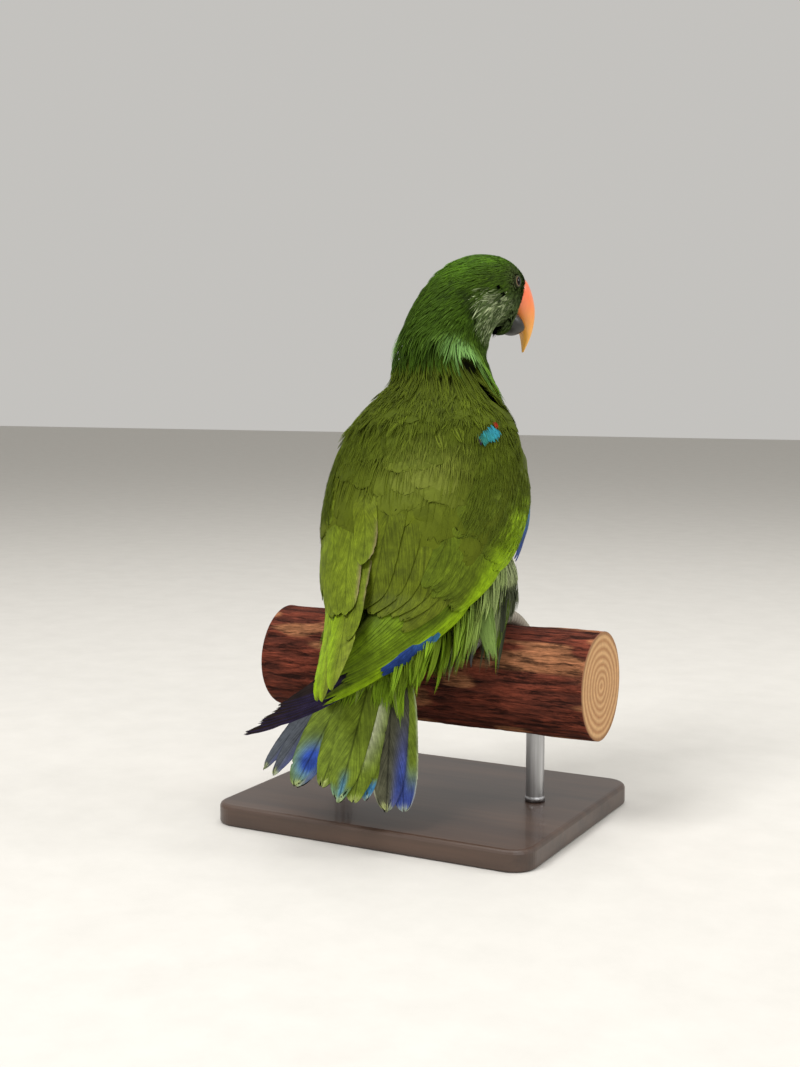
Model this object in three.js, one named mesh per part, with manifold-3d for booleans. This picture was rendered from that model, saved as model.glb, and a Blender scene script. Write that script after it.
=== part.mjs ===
// Eclectus parrot, a still life-size model perched on a cut length of log, on a plain display stand.
// Millimetres, +Z up. The origin is the centre of the underside of the stand's base.
// The bird looks towards -Y, so its right side is -X, and its tail hangs on the +Y side of the log.
import * as THREE from "three";
import { mergeVertices } from "three/addons/utils/BufferGeometryUtils.js";
import Module from "manifold-3d";

const wasm = await Module();
wasm.setup();

// Driving dimensions of the log and the stand.
const logLength = 210;
const logRadius = 32;
const logAxisY = -12;
const logAxisZ = 84;
const baseWidth = 200;
const baseDepth = 164;
const baseThickness = 12;
const baseCorner = 14;
const rodRadius = 6;
const rodSpacing = 130;

// Gap kept where two sub-parts meet.
const gap = 0.3;

// Stations of the body from the tail root to the face, each a place on the body's midline
// (side to the bird's right, forward, height over the log's axis) with its half width and
// its depth towards the back and towards the front.
const station = (side, forward, height, halfWidth, back, front) => [side, forward, height, halfWidth, back, front];
const bodyStations = [
  station(0, -80, 14, 7, 4, 5),
  station(0, -69, 26, 22, 10, 12),
  station(0, -50, 44, 39, 22, 21),
  station(0, -26, 72, 50, 38, 38),
  station(0, -9, 104, 52, 41, 47),
  station(0, 1, 136, 45, 37, 45),
  station(-1, 7, 166, 33, 29, 35),
  station(-2, 10, 190, 27, 26, 27),
  station(2, 18, 210, 25, 25, 22),
  station(7, 33, 226, 23.5, 22, 23),
  station(12, 48, 233, 20.5, 17, 27),
  station(16.5, 61, 233, 15.5, 11, 25),
  station(19.5, 69, 232, 9, 6, 16),
];
const lastStation = bodyStations.length - 1;
const torsoEnd = 6 / lastStation;
const neckEnd = 8 / lastStation;
const headTurn = THREE.MathUtils.degToRad(20);

// The head's own frame: its centre, turned to the bird's right.
const headCentre = { side: 9, forward: 40.6, height: 230 };

const eyeRadius = 5;
const eyePlace = { forward: 12.5, side: 15, height: 3.2 };
const eyeFacing = { forward: 0.34, height: 0.06 };
const lid = { radius: 4.1, tube: 1, out: 3.4 };
const nostril = { forward: 32.8, side: 6, height: 5.9, radius: 1.3 };
const mouthLine = { from: [25, 9, -10], to: [13, 16, -11], radii: [0.9, 0.9, 0.54] };

// Catmull-Rom spline through rows of numbers, t from 0 to 1 over the whole list.
function spline(rows, t) {
  const last = rows.length - 1;
  const x = Math.min(Math.max(t, 0), 1) * last;
  const i = Math.min(Math.floor(x), last - 1);
  const f = x - i;
  const [a, b, c, d] = [rows[Math.max(i - 1, 0)], rows[i], rows[i + 1], rows[Math.min(i + 2, last)]];
  return b.map((_, k) => {
    const curve = 2 * b[k] + (c[k] - a[k]) * f;
    const square = (2 * a[k] - 5 * b[k] + 4 * c[k] - d[k]) * f * f;
    const cube = (3 * b[k] - a[k] - 3 * c[k] + d[k]) * f * f * f;
    return (curve + square + cube) / 2;
  });
}

const mix = (a, b, t) => a + (b - a) * t;

const ease = (from, to, x) => {
  const t = Math.min(Math.max((x - from) / (to - from), 0), 1);
  return t * t * (3 - 2 * t);
};

// A place given as side to the bird's right, forward, and height over the log's axis.
const place = (side, forward, height) => new THREE.Vector3(-side, logAxisY - forward, logAxisZ + height);

// A place in the turned head's frame.
function inHead(forward, side, height) {
  const cos = Math.cos(headTurn);
  const sin = Math.sin(headTurn);
  return place(
    headCentre.side + forward * sin + side * cos,
    headCentre.forward + forward * cos - side * sin,
    headCentre.height + height,
  );
}

// Section of the body at s: its centre, its axes and its half sizes.
function bodySection(s) {
  const [side, forward, height, halfWidth, back, front] = spline(bodyStations, s);
  const centre = place(side, forward, height);
  const step = 0.002;
  const before = spline(bodyStations, Math.max(s - step, 0));
  const after = spline(bodyStations, Math.min(s + step, 1));
  const along = place(after[0], after[1], after[2]).sub(place(before[0], before[1], before[2])).normalize();
  const turn = headTurn * ease(0.5, 0.75, s);
  const right = new THREE.Vector3(-Math.cos(turn), Math.sin(turn), 0);
  const dorsal = right.clone().cross(along).normalize();
  right.crossVectors(along, dorsal);
  return { centre, along, right, dorsal, halfWidth, back, front };
}

// Point on the body: angle 0 is the back, 90 degrees the bird's right. lift is added outwards.
function bodyPoint(s, angle, lift = 0, section = bodySection(s)) {
  const sin = Math.sin(angle);
  const cos = Math.cos(angle);
  const depth = cos > 0 ? section.back : section.front;
  return section.centre
    .clone()
    .addScaledVector(section.right, (section.halfWidth + lift) * sin)
    .addScaledVector(section.dorsal, (depth + lift) * cos);
}

// Closed body through rings of equal length; each end is closed by a fan round its middle.
// The second half of a ring is split along the other diagonal, so that the two faces of a thin
// sheet, whose rings run out over one face and back over the other, are split alike.
function loft(rings) {
  const count = rings[0].length;
  const positions = [];
  const triangles = [];
  for (const ring of rings) {
    for (const point of ring) positions.push(point.x, point.y, point.z);
  }
  for (let i = 0; i < rings.length - 1; i++) {
    for (let j = 0; j < count; j++) {
      const next = (j + 1) % count;
      const [a, b] = [i * count + j, i * count + next];
      const [c, d] = [(i + 1) * count + j, (i + 1) * count + next];
      triangles.push(...(j < count / 2 ? [a, b, d, a, d, c] : [a, b, c, b, d, c]));
    }
  }
  const close = (ring, offset, reversed) => {
    const middle = ring.reduce((sum, point) => sum.add(point), new THREE.Vector3()).divideScalar(count);
    const centre = positions.length / 3;
    positions.push(middle.x, middle.y, middle.z);
    for (let j = 0; j < count; j++) {
      const [a, b] = [offset + j, offset + ((j + 1) % count)];
      triangles.push(...(reversed ? [centre, b, a] : [centre, a, b]));
    }
  };
  close(rings[0], 0, true);
  close(rings[rings.length - 1], (rings.length - 1) * count, false);
  const geometry = new THREE.BufferGeometry();
  geometry.setAttribute("position", new THREE.Float32BufferAttribute(positions, 3));
  geometry.setIndex(triangles);
  return outward(geometry);
}

// Turns the triangles so that they face out.
function outward(geometry) {
  const position = geometry.attributes.position;
  const index = geometry.index.array;
  let volume = 0;
  const [a, b, c] = [new THREE.Vector3(), new THREE.Vector3(), new THREE.Vector3()];
  for (let i = 0; i < index.length; i += 3) {
    a.fromBufferAttribute(position, index[i]);
    b.fromBufferAttribute(position, index[i + 1]);
    c.fromBufferAttribute(position, index[i + 2]);
    volume += a.dot(b.cross(c));
  }
  if (volume < 0) {
    for (let i = 0; i < index.length; i += 3) [index[i], index[i + 1]] = [index[i + 1], index[i]];
  }
  return geometry;
}

function solid(source) {
  const bare = source.clone();
  bare.deleteAttribute("normal");
  bare.deleteAttribute("uv");
  const geometry = mergeVertices(bare, 1e-4);
  return new wasm.Manifold(
    new wasm.Mesh({
      numProp: 3,
      vertProperties: new Float32Array(geometry.attributes.position.array),
      triVerts: new Uint32Array(geometry.index.array),
    }),
  );
}

const largest = (body) => body.decompose().sort((a, b) => b.volume() - a.volume())[0];

function geometryOf(body) {
  const mesh = largest(body).getMesh();
  const geometry = new THREE.BufferGeometry();
  geometry.setAttribute("position", new THREE.BufferAttribute(new Float32Array(mesh.vertProperties), 3));
  geometry.setIndex(new THREE.BufferAttribute(new Uint32Array(mesh.triVerts), 1));
  return geometry;
}

// One body of all the pieces that overlap.
const fuse = (bodies) => bodies.reduce((sum, body) => sum.add(body));

const range = (count) => Array.from({ length: count }, (_, i) => i);

const ringAngles = (count) => range(count).map((i) => (i / count) * 2 * Math.PI);

// Length of the body between two sections, lifted outwards by lift, its two ends shifted along it.
function bodyLength(from, to, steps, around, lift = 0, startShift = 0, endShift = 0) {
  const rings = range(steps + 1).map((i) => {
    const s = mix(from, to, i / steps);
    const section = bodySection(s);
    const shift = i === 0 ? startShift : i === steps ? endShift : 0;
    section.centre.addScaledVector(section.along, shift);
    return ringAngles(around).map((angle) => bodyPoint(s, angle, lift, section));
  });
  return solid(loft(rings));
}

// Body of oval sections given as a top point, a low point and a half width in the head's midplane.
function billShape(sections, steps, around, lift = 0) {
  const rings = range(steps + 1).map((i) => {
    const [topForward, topHeight, lowForward, lowHeight, halfWidth] = spline(sections, i / steps);
    const top = inHead(topForward, 0, topHeight);
    const low = inHead(lowForward, 0, lowHeight);
    const centre = top.clone().add(low).multiplyScalar(0.5);
    const up = top.clone().sub(centre);
    up.setLength(up.length() + lift);
    const across = inHead(0, 1, 0).sub(inHead(0, 0, 0));
    return ringAngles(around).map((angle) =>
      centre
        .clone()
        .addScaledVector(up, Math.cos(angle))
        .addScaledVector(across, (halfWidth + lift) * Math.sin(angle)),
    );
  });
  return solid(loft(rings));
}

const upperBill = [
  [31, 9, 20, -6, 9.5],
  [36.5, 6, 23, -9, 10],
  [42, -2.6, 27, -12.5, 9],
  [45, -11.8, 31.8, -17.5, 7.6],
  [45, -21, 35.8, -23.8, 5.6],
  [42.4, -29.8, 38, -30.8, 3.6],
  [38.4, -38.3, 37.8, -38.8, 0.8],
];
const lowerBill = [
  [20, -12, 17, -25, 7.5],
  [26, -13, 22.5, -28, 8.4],
  [30.5, -15.5, 28.5, -28.6, 7.6],
  [34.3, -20.5, 33.6, -26.8, 5.4],
  [36.8, -23.2, 36.2, -24.4, 1.4],
];

function ball(centre, radius, around = 20, rows = 12) {
  const geometry = new THREE.SphereGeometry(radius, around, rows);
  geometry.translate(centre.x, centre.y, centre.z);
  return solid(geometry);
}

// Sheet of a wing. It lies on the body down to its leaving line and then runs free to its end.
// along runs from the shoulder to the end, across from the leading edge to the back edge.
const wingLeaves = 0.55;
const wingSheets = {
  right: {
    sign: 1, trailing: 12, over: 0, startPull: 36, bulge: 22,
    end: [[-62, -126, -24], [-52, -122, -5]],
    endPull: [-110, -34, -18],
  },
  left: {
    sign: -1, trailing: 7, over: 10, startPull: 36, bulge: 0,
    end: [[-15, -116, -7], [7, -115, 2]],
    endPull: [0, -16, -60],
  },
  leftUnder: {
    sign: -1, trailing: 7, over: 0, startPull: 36, bulge: 16,
    end: [[-25, -99, -12], [-12, -98, 2]],
    endPull: [4, -20, -60],
  },
};

// Point of the wing over the body's side, along from 0 to 1 over the part on the body.
function wingOnBody(wing, along, across, lift) {
  const s = mix(mix(0.43, 0.47, across), mix(0.17, 0.13, across), along);
  const leading = mix(118, 82, along);
  const trailing = mix(24, wing.trailing, Math.sqrt(along));
  const angle = THREE.MathUtils.degToRad(mix(leading, trailing, across)) * wing.sign;
  return bodyPoint(s, angle, lift);
}

const wayOf = (side, forward, height) => place(side, forward, height).sub(place(0, 0, 0));

function wingPoint(wing, along, across, layer) {
  const lift = layer + wing.over * across * ease(0.36, 0.62, along);
  if (along <= wingLeaves) return wingOnBody(wing, along / wingLeaves, across, lift);
  const t = (along - wingLeaves) / (1 - wingLeaves);
  const start = wingOnBody(wing, 1, across, lift);
  const pull = start.clone().sub(wingOnBody(wing, 0.98, across, lift)).multiplyScalar(wing.startPull);
  const outwards = wingOnBody(wing, 1, across, lift + 1).sub(start);
  pull.addScaledVector(outwards, wing.bulge);
  const corners = wing.end.map((point) => place(...point));
  const away = wayOf(0, -1, 0.6).normalize();
  const end = corners[0].lerp(corners[1], across).addScaledVector(away, lift);
  const square = t * t;
  const cube = square * t;
  return start
    .multiplyScalar(2 * cube - 3 * square + 1)
    .addScaledVector(pull, cube - 2 * square + t)
    .addScaledVector(end, 3 * square - 2 * cube)
    .addScaledVector(wayOf(...wing.endPull), cube - square);
}

// Closed shell between an inner and an outer sheet of the wing.
function wingShell(wing, end, steps, across, inner, outer) {
  const rings = range(steps + 1).map((i) => {
    const along = (end * i) / steps;
    const row = (lift) => range(across + 1).map((j) => wingPoint(wing, along, j / across, lift(along, j / across)));
    return [...row(outer), ...row(inner).reverse()];
  });
  return solid(loft(rings));
}

// Thickness of a feather's vane, its step over the one before it in the tail, and how steeply a
// wing's feather may tilt over its neighbour.
const vaneThickness = 0.55;
const vaneStep = 0.95;
const steepestTilt = 0.11;

// Numbers from 0 to 1 that are the same each time.
let seed = 7;
function random() {
  seed = (seed * 16807) % 2147483647;
  return seed / 2147483647;
}
const vary = (amount) => 1 + amount * (2 * random() - 1);

// Half width of a vane along its length, as a share of its widest, down to tip at its end.
const vaneShape = (t, tip) => mix(0.5, 1, ease(0, 0.5, t)) * mix(1, tip, ease(0.66, 1, t) ** 1.5);

// Closed vane through frames of centre, sideways and up, each with a half width. Its edges fall
// below its middle by edgeFall for each square millimetre of the half width.
const edgeFall = 0.004;
function vane(frames, grow = 0) {
  const thickness = vaneThickness / 2 + grow;
  const rings = frames.map(({ centre, sideways, up, half }) => {
    const point = (sign, side) =>
      centre
        .clone()
        .addScaledVector(sideways, sign * (half + grow))
        .addScaledVector(up, side * thickness - Math.abs(sign) * edgeFall * half * half);
    return [point(-1, 1), point(0, 1), point(1, 1), point(1, -1), point(0, -1), point(-1, -1)];
  });
  return solid(loft(rings));
}

// A row of overlapping vanes on a sheet of (along, across, lift). Each pair of numbers is the value
// for the first and the last vane. lift is the height of the row at its roots and at its tips, and
// each vane's edge lies a step over the vane before it.
function vaneRow(sheet, row) {
  seed = row.seed;
  const pick = (pair, k) => mix(pair[0], pair[1], k / (row.count - 1));
  const paths = range(row.count).map((k) => ({
    root: [pick(row.rootAlong, k), pick(row.rootAcross, k)],
    tip: [pick(row.tipAlong, k) * vary(0.02), pick(row.tipAcross, k)],
    half: pick(row.half, k) * vary(0.08),
  }));
  const at = (path, t) => [mix(path.root[0], path.tip[0], t), mix(path.root[1], path.tip[1], t)];
  return paths.map((path, k) => {
    const neighbour = paths[k === 0 ? 1 : k - 1];
    const rings = range(row.segments + 1).map((i) => {
      const t = 1 - (1 - i / row.segments) ** 1.4;
      const [along, across] = at(path, t);
      const height = mix(row.lift[0], row.lift[1], ease(0, 0.6, t)) - row.sink * ease(0.3, 0, t);
      const width = sheet(along, across + 0.02, height).distanceTo(sheet(along, across - 0.02, height)) / 0.04;
      const spacing = Math.max(Math.abs(at(neighbour, t)[1] - across) * width, 1);
      const tilt = Math.min(row.step / spacing, steepestTilt);
      const lift = height + k * (row.step - tilt * spacing);
      const half = path.half * vaneShape(t, row.tip);
      const point = (sign, side) =>
        sheet(along, across + (sign * half) / width, lift - sign * tilt * half + (side * vaneThickness) / 2);
      return [point(-1, 1), point(0, 1), point(1, 1), point(1, -1), point(0, -1), point(-1, -1)];
    });
    return solid(loft(rings));
  });
}

// Rows of the wing's feathers, from the lowest to the one on top.
const primaries = {
  count: 4, segments: 4, seed: 11, lift: [1.6, 1.6], sink: 0, step: 1.5, tip: 0.16, half: [8, 9],
  rootAlong: [0.38, 0.38], rootAcross: [0.12, 0.34], tipAlong: [1.0, 0.84], tipAcross: [0.3, 0.82],
};
const secondaries = {
  count: 5, segments: 4, seed: 23, lift: [5, 7.4], sink: 2, step: 1.15, tip: 0.35, half: [11, 12],
  rootAlong: [0.34, 0.34], rootAcross: [0.15, 0.7], tipAlong: [0.8, 0.77], tipAcross: [0.24, 0.8],
};
const tertials = {
  count: 3, segments: 3, seed: 31, lift: [6.2, 9], sink: 3, step: 1.15, tip: 0.4, half: [11, 12],
  rootAlong: [0.28, 0.26], rootAcross: [0.76, 0.92], tipAlong: [0.66, 0.58], tipAcross: [0.74, 0.93],
};
const greaterCoverts = {
  count: 5, segments: 2, seed: 43, lift: [6.2, 9.2], sink: 4, step: 1.15, tip: 0.45, half: [12, 13],
  rootAlong: [0.27, 0.26], rootAcross: [0.12, 0.66], tipAlong: [0.5, 0.5], tipAcross: [0.12, 0.64],
};
const medianCoverts = {
  count: 5, segments: 2, seed: 57, lift: [6.6, 9.4], sink: 4.5, step: 1.15, tip: 0.5, half: [12, 13],
  rootAlong: [0.18, 0.16], rootAcross: [0.12, 0.84], tipAlong: [0.38, 0.37], tipAcross: [0.12, 0.84],
};
const lesserCoverts = {
  count: 4, segments: 2, seed: 61, lift: [6.4, 9], sink: 4.5, step: 1.15, tip: 0.5, half: [14, 14],
  rootAlong: [0.09, 0.07], rootAcross: [0.14, 0.84], tipAlong: [0.26, 0.25], tipAcross: [0.14, 0.84],
};
// The left wing hangs looser, and its inner feathers lie over the right wing.
const looser = {
  secondaries: { ...secondaries, tipAlong: [0.97, 1], tipAcross: [0.2, 0.84], half: [10, 11], tip: 0.5 },
  tertials: { ...tertials, tipAlong: [0.84, 0.7] },
};
const shorter = { ...primaries, tipAlong: [0.98, 0.84] };

// Fleshy part of the wing, under the coverts.
const armEnd = 0.42;
const armInner = 0.8;
const armThin = 2.2;
const armThick = 6.4;
const armOuter = (along, across) => {
  const body = ease(0, 0.14, along) * mix(1, 0.3, ease(0.2, armEnd, along));
  const edges = ease(0, 0.14, across) * ease(1, 0.9, across);
  return mix(armThin, armThick, body * edges);
};

function wingSolid(name) {
  const wing = wingSheets[name];
  const sheetOf = (way) => (along, across, lift) => wingPoint(way, along, across, lift);
  const arm = wingShell(wing, armEnd, 9, 8, () => armInner, armOuter);
  const under = name === "left" ? vaneRow(sheetOf(wingSheets.leftUnder), shorter) : vaneRow(sheetOf(wing), primaries);
  const inner = name === "left" ? looser : { secondaries, tertials };
  const rows = [inner.secondaries, inner.tertials, greaterCoverts, medianCoverts, lesserCoverts];
  return fuse([arm, ...under, ...rows.flatMap((row) => vaneRow(sheetOf(wing), row))]);
}

// Tail: a fan of feathers from a root inside the rump, given by its middle and its two sides.
const tail = {
  root: [-1, -60, 40],
  leftTip: [-51, -118, -43],
  middleTip: [-2, -110, -55],
  rightTip: [30, -94, -56],
  // Places of the feathers across the fan, from -1 at its left edge to 1 at its right edge.
  spread: [-1, -0.84, -0.54, -0.28, -0.08, 0.1, 0.27, 0.6, 0.8, 1],
  lengths: [0.98, 0.99, 0.98, 0.93, 0.97, 0.99, 0.98, 1.04, 1.03, 0.94],
  half: 11.5,
  // Where the feathers start along the fan, how far the fan is arched across and drawn in at its
  // root, and the height of its topmost feather with the place of that feather in the row.
  start: 0.14,
  arch: 3,
  rootSpread: 7,
  topLift: 3.4,
  topFeather: 4.7,
};
// Fleshy root of the tail: from and to along the fan, with its thickness and width at each.
const tailFlesh = { from: 0.08, to: 0.4, thick: [6, 2.4], wide: [0.8, 0.7] };

function tailPoint(along, across, lift) {
  const root = place(...tail.root);
  const target = place(...(across < 0 ? tail.leftTip : tail.rightTip));
  const tip = place(...tail.middleTip).lerp(target, Math.abs(across));
  const reach = tip.clone().sub(root);
  const flat = place(...tail.leftTip).sub(root).cross(place(...tail.rightTip).sub(root)).normalize();
  return root
    .addScaledVector(reach, along)
    .addScaledVector(wayOf(1, 0, 0), across * tail.rootSpread * (1 - along))
    .addScaledVector(flat, lift - tail.arch * across * across);
}

// Width of a tail feather along its length, as a share of its widest.
const tailFeatherShape = (t) => mix(0.4, 1, ease(0, 0.7, t)) * mix(1, 0.3, ease(0.84, 1, t) ** 1.5);

function tailSolid(grow = 0) {
  const segments = 4;
  const feathers = tail.spread.map((across, k) => {
    const lift = tail.topLift - Math.abs(k - tail.topFeather) * vaneStep;
    const frames = range(segments + 1).map((i) => {
      const t = 1 - (1 - i / segments) ** 1.3;
      const centre = tailPoint(mix(tail.start, tail.lengths[k], t), across, lift);
      const up = tailPoint(t, across, 1).sub(tailPoint(t, across, 0)).normalize();
      const ahead = tailPoint(1, across, 0).sub(tailPoint(0, across, 0)).normalize();
      const sideways = up.clone().cross(ahead).normalize();
      return { centre, sideways, up, half: tail.half * tailFeatherShape(t) };
    });
    return vane(frames, grow);
  });
  const [steps, columns] = [3, 5];
  const root = range(steps + 1).map((i) => {
    const along = mix(tailFlesh.from, tailFlesh.to, i / steps);
    const thick = mix(...tailFlesh.thick, i / steps) + grow;
    const wide = mix(...tailFlesh.wide, i / steps);
    const row = (lift) => range(columns + 1).map((j) => tailPoint(along, mix(-wide, wide, j / columns), lift));
    return [...row(thick), ...row(1 - thick * 0.8).reverse()];
  });
  return fuse([solid(loft(root)), ...feathers]);
}

// Loose lock of feathers from a root to a tip, its middle pushed out by bulge. lockShape is its
// width along its length as a share of its widest.
const lockShape = [0.8, 1, 0.8, 0.15];
function lock(root, tip, out, half, bulge, grow = 0) {
  const along = tip.clone().sub(root).normalize();
  const sideways = along.clone().cross(out).normalize();
  const up = sideways.clone().cross(along).normalize();
  const frames = lockShape.map((_, i) => {
    const t = i / (lockShape.length - 1);
    const centre = root.clone().lerp(tip, t).addScaledVector(up, bulge * Math.sin(Math.PI * t));
    return { centre, sideways, up, half: half * lockShape[i] };
  });
  return vane(frames, grow);
}

// Shaggy locks of the flank: body place and angle of the root, length and half width.
const flankLocks = [
  [0.25, 116, 36, 8],
  [0.21, 108, 36, 8],
  [0.14, 108, 34, 7],
  [0.1, 124, 32, 7],
  [0.15, 134, 34, 7],
];
const lockSink = 2.5;
const lockBulge = 2.5;
// A flank lock faces partly down, hangs a little steeper than the body and its tip stands off.
const flankFacing = 0.9;
const flankDroop = 0.35;
const flankStand = 4.5;

function flankLockSolids(sign, grow = 0) {
  return flankLocks.map(([s, degrees, length, half]) => {
    const angle = THREE.MathUtils.degToRad(degrees) * sign;
    const root = bodyPoint(s, angle, -lockSink);
    const out = bodyPoint(s, angle, 0).sub(root).normalize();
    out.addScaledVector(wayOf(0, -1, 0), flankFacing).normalize();
    const down = bodySection(s).along.negate().addScaledVector(wayOf(0, 0, -1), flankDroop).normalize();
    const tip = root.clone().addScaledVector(down, length).addScaledVector(out, flankStand);
    return lock(root, tip, out, half, lockBulge, grow);
  });
}

// Tube of round sections along points, with a radius for each point and, if given, the way its
// first section faces.
function tube(points, radii, around, facing) {
  const rings = points.map((point, i) => {
    const ahead = points[Math.min(i + 1, points.length - 1)];
    const behind = points[Math.max(i - 1, 0)];
    const along = i === 0 && facing ? facing : ahead.clone().sub(behind).normalize();
    const sideways = new THREE.Vector3(1, 0, 0).cross(along).normalize();
    const upwards = along.clone().cross(sideways);
    return ringAngles(around).map((angle) =>
      point
        .clone()
        .addScaledVector(sideways, radii[i] * Math.cos(angle))
        .addScaledVector(upwards, radii[i] * Math.sin(angle)),
    );
  });
  return solid(loft(rings));
}

// Log, with a slightly uneven round section that twists a little along its length.
function logRadiusAt(x, angle) {
  const oval = 0.5 * Math.sin(2 * angle + 0.6);
  const lobes = 0.4 * Math.sin(3 * angle + x / 40);
  return logRadius - 0.7 + oval + lobes;
}

function logSolid(lift = 0) {
  const steps = 6;
  const rings = range(steps + 1).map((i) => {
    const x = mix(-logLength / 2, logLength / 2, i / steps);
    return ringAngles(28).map((angle) => {
      const radius = logRadiusAt(x, angle) + lift;
      return new THREE.Vector3(x, logAxisY + radius * Math.sin(angle), logAxisZ + radius * Math.cos(angle));
    });
  });
  return solid(loft(rings));
}

// Point over the log's bark: angle 0 is the top, positive towards the bird's front.
function overLog(side, angle, clearance) {
  const x = -side;
  const radius = logRadiusAt(x, -angle) + clearance;
  return place(side, radius * Math.sin(angle), radius * Math.cos(angle));
}

const toes = [
  { name: "inner_front", splay: -5, reach: 58, direction: 1, turn: -7 },
  { name: "outer_front", splay: 4, reach: 74, direction: 1, turn: 6 },
  { name: "inner_back", splay: -4, reach: 34, direction: -1, turn: -6 },
  { name: "outer_back", splay: 5, reach: 48, direction: -1, turn: -6 },
];
const toeRadius = 4.2;
const toeTipRadius = 2.9;
const toeClearance = 0.4;
const feet = {
  right: { side: 40, forward: -2, outwards: 1 },
  left: { side: -24, forward: 2, outwards: -1 },
};

function toePoints(foot, toe) {
  const steps = 5;
  return range(steps + 1).map((i) => {
    const t = i / steps;
    const angle = THREE.MathUtils.degToRad(toe.reach * t) * toe.direction;
    const side = foot.side + foot.outwards * (toe.splay + toe.turn * t);
    return overLog(side, angle, mix(toeRadius, toeTipRadius, t) + toeClearance);
  });
}

function toeSolid(foot, toe) {
  const points = toePoints(foot, toe);
  const radii = points.map((_, i) => mix(toeRadius, toeTipRadius, i / (points.length - 1)));
  return tube(points, radii, 8);
}

// Heights of the leg's lower end and of the heel over the log's top, and the leg's radii.
const shank = { low: 7, high: 20, radii: [6, 5, 4.5] };

function footSolid(foot) {
  const ankle = place(foot.side, foot.forward, logRadius + shank.low);
  const heel = place(foot.side - foot.outwards, foot.forward - 2, logRadius + shank.high);
  let body = tube([ankle, ankle.clone().lerp(heel, 0.5), heel], shank.radii, 8);
  for (const toe of toes) body = body.add(toeSolid(foot, toe));
  return body.subtract(logSolid(gap));
}

// A claw: its length straight on from the toe, how far it bends round the log, its arch, how far
// its point sinks towards the log, and its radii as a share of the toe's and at the point.
const claw = { length: 3, bend: 18, arch: 2.2, sink: 2, root: 0.86, point: 0.5 };

function clawSolid(foot, toe, shift = gap) {
  const points = toePoints(foot, toe);
  const end = points[points.length - 1];
  const along = end.clone().sub(points[points.length - 2]).normalize();
  const start = end.clone().addScaledVector(along, shift);
  const outwards = end.clone().sub(place(-end.x, 0, 0)).setX(0).normalize();
  const steps = 5;
  const middle = range(steps + 1).map((i) => {
    const t = i / steps;
    const bend = THREE.MathUtils.degToRad(claw.bend * t) * toe.direction;
    return start
      .clone()
      .addScaledVector(along, claw.length * t)
      .addScaledVector(outwards, Math.sin(Math.PI * t) * claw.arch - claw.sink * t)
      .sub(place(-end.x, 0, 0))
      .applyAxisAngle(new THREE.Vector3(1, 0, 0), bend)
      .add(place(-end.x, 0, 0));
  });
  const radii = middle.map((_, i) => mix(toeTipRadius * claw.root, claw.point, i / steps));
  return tube(middle, radii, 7, along).subtract(logSolid(gap));
}

// Feathered thigh, from inside the belly down to the foot. Each row is how far it lies inwards and
// back from the foot, its height and its radius.
const thighRows = [
  [10, 4, 74, 21],
  [5, 4, 60, 19],
  [2, 4, 50, 14],
  [0, 2, 44, 9],
];

function thighSolid(foot, lift = 0) {
  const points = thighRows.map(([inwards, back, height]) =>
    place(foot.side - foot.outwards * inwards, foot.forward - back, height),
  );
  return tube(points, thighRows.map((row) => row[3] + lift), 14);
}

// Locks of the thigh: the way each hangs round the leg in degrees (0 is outwards, 90 forwards),
// the heights of its root and its tip, and how far the tip stands off the leg's middle.
const thighLocks = [
  [5, 60, 37, 15],
  [75, 58, 42, 12],
  [-35, 60, 38, 15],
  [-75, 64, 26, 26],
];

const thighLockHalf = 7;
const thighLockRoot = 9;

function thighLockSolids(foot) {
  return thighLocks.map(([degrees, top, low, stand]) => {
    const angle = THREE.MathUtils.degToRad(degrees);
    const [sideways, ahead] = [Math.cos(angle) * foot.outwards, Math.sin(angle)];
    const root = place(foot.side + sideways * thighLockRoot, foot.forward - 4 + ahead * thighLockRoot, top);
    const tip = place(foot.side + sideways * stand, foot.forward - 3 + ahead * stand, low);
    return lock(root, tip, wayOf(sideways, ahead, 0), thighLockHalf, lockBulge);
  });
}

const coat = (colour, roughness = 0.7) => new THREE.MeshStandardMaterial({ color: colour, roughness, metalness: 0 });
const materials = {
  plumage: coat(0x4d7a2c),
  head: coat(0x3f8038),
  wing: coat(0x5f8a28),
  flight: coat(0x2c3a78),
  thigh: coat(0x6d8a5a),
  upperBill: coat(0xe8834f, 0.35),
  lowerBill: coat(0x37353a, 0.35),
  eye: coat(0x1a1210, 0.08),
  foot: coat(0x9a958a, 0.6),
  claw: coat(0x4a4a4c, 0.4),
  bark: coat(0x8a4a32, 0.95),
  stand: coat(0x3a3330, 0.5),
};

const model = new THREE.Group();
model.name = "eclectus_parrot";

function add(name, body, material) {
  const mesh = new THREE.Mesh(geometryOf(body), material);
  mesh.name = name;
  model.add(mesh);
}

// Torso, neck and head are one surface, parted by thin cuts.
const torsoSolid = (grow) =>
  fuse([bodyLength(0, torsoEnd, 14, 26, grow), ...flankLockSolids(1, grow), ...flankLockSolids(-1, grow)]);
const torso = torsoSolid(0);
const torsoRoom = torsoSolid(gap);
const neck = bodyLength(torsoEnd, neckEnd, 4, 26, 0, gap, 0);
const eyes = ["right", "left"].map((name) => {
  const side = name === "right" ? 1 : -1;
  const centre = inHead(eyePlace.forward, side * eyePlace.side, eyePlace.height);
  const out = inHead(eyeFacing.forward, side, eyeFacing.height).sub(inHead(0, 0, 0)).normalize();
  return { name, side, centre, out };
});

// Ring of the eye's two lids.
function lidSolid(eye) {
  const ring = new THREE.TorusGeometry(lid.radius, lid.tube, 5, 14);
  ring.applyQuaternion(new THREE.Quaternion().setFromUnitVectors(new THREE.Vector3(0, 0, 1), eye.out));
  const middle = eye.centre.clone().addScaledVector(eye.out, lid.out);
  ring.translate(middle.x, middle.y, middle.z);
  return solid(ring);
}

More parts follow.
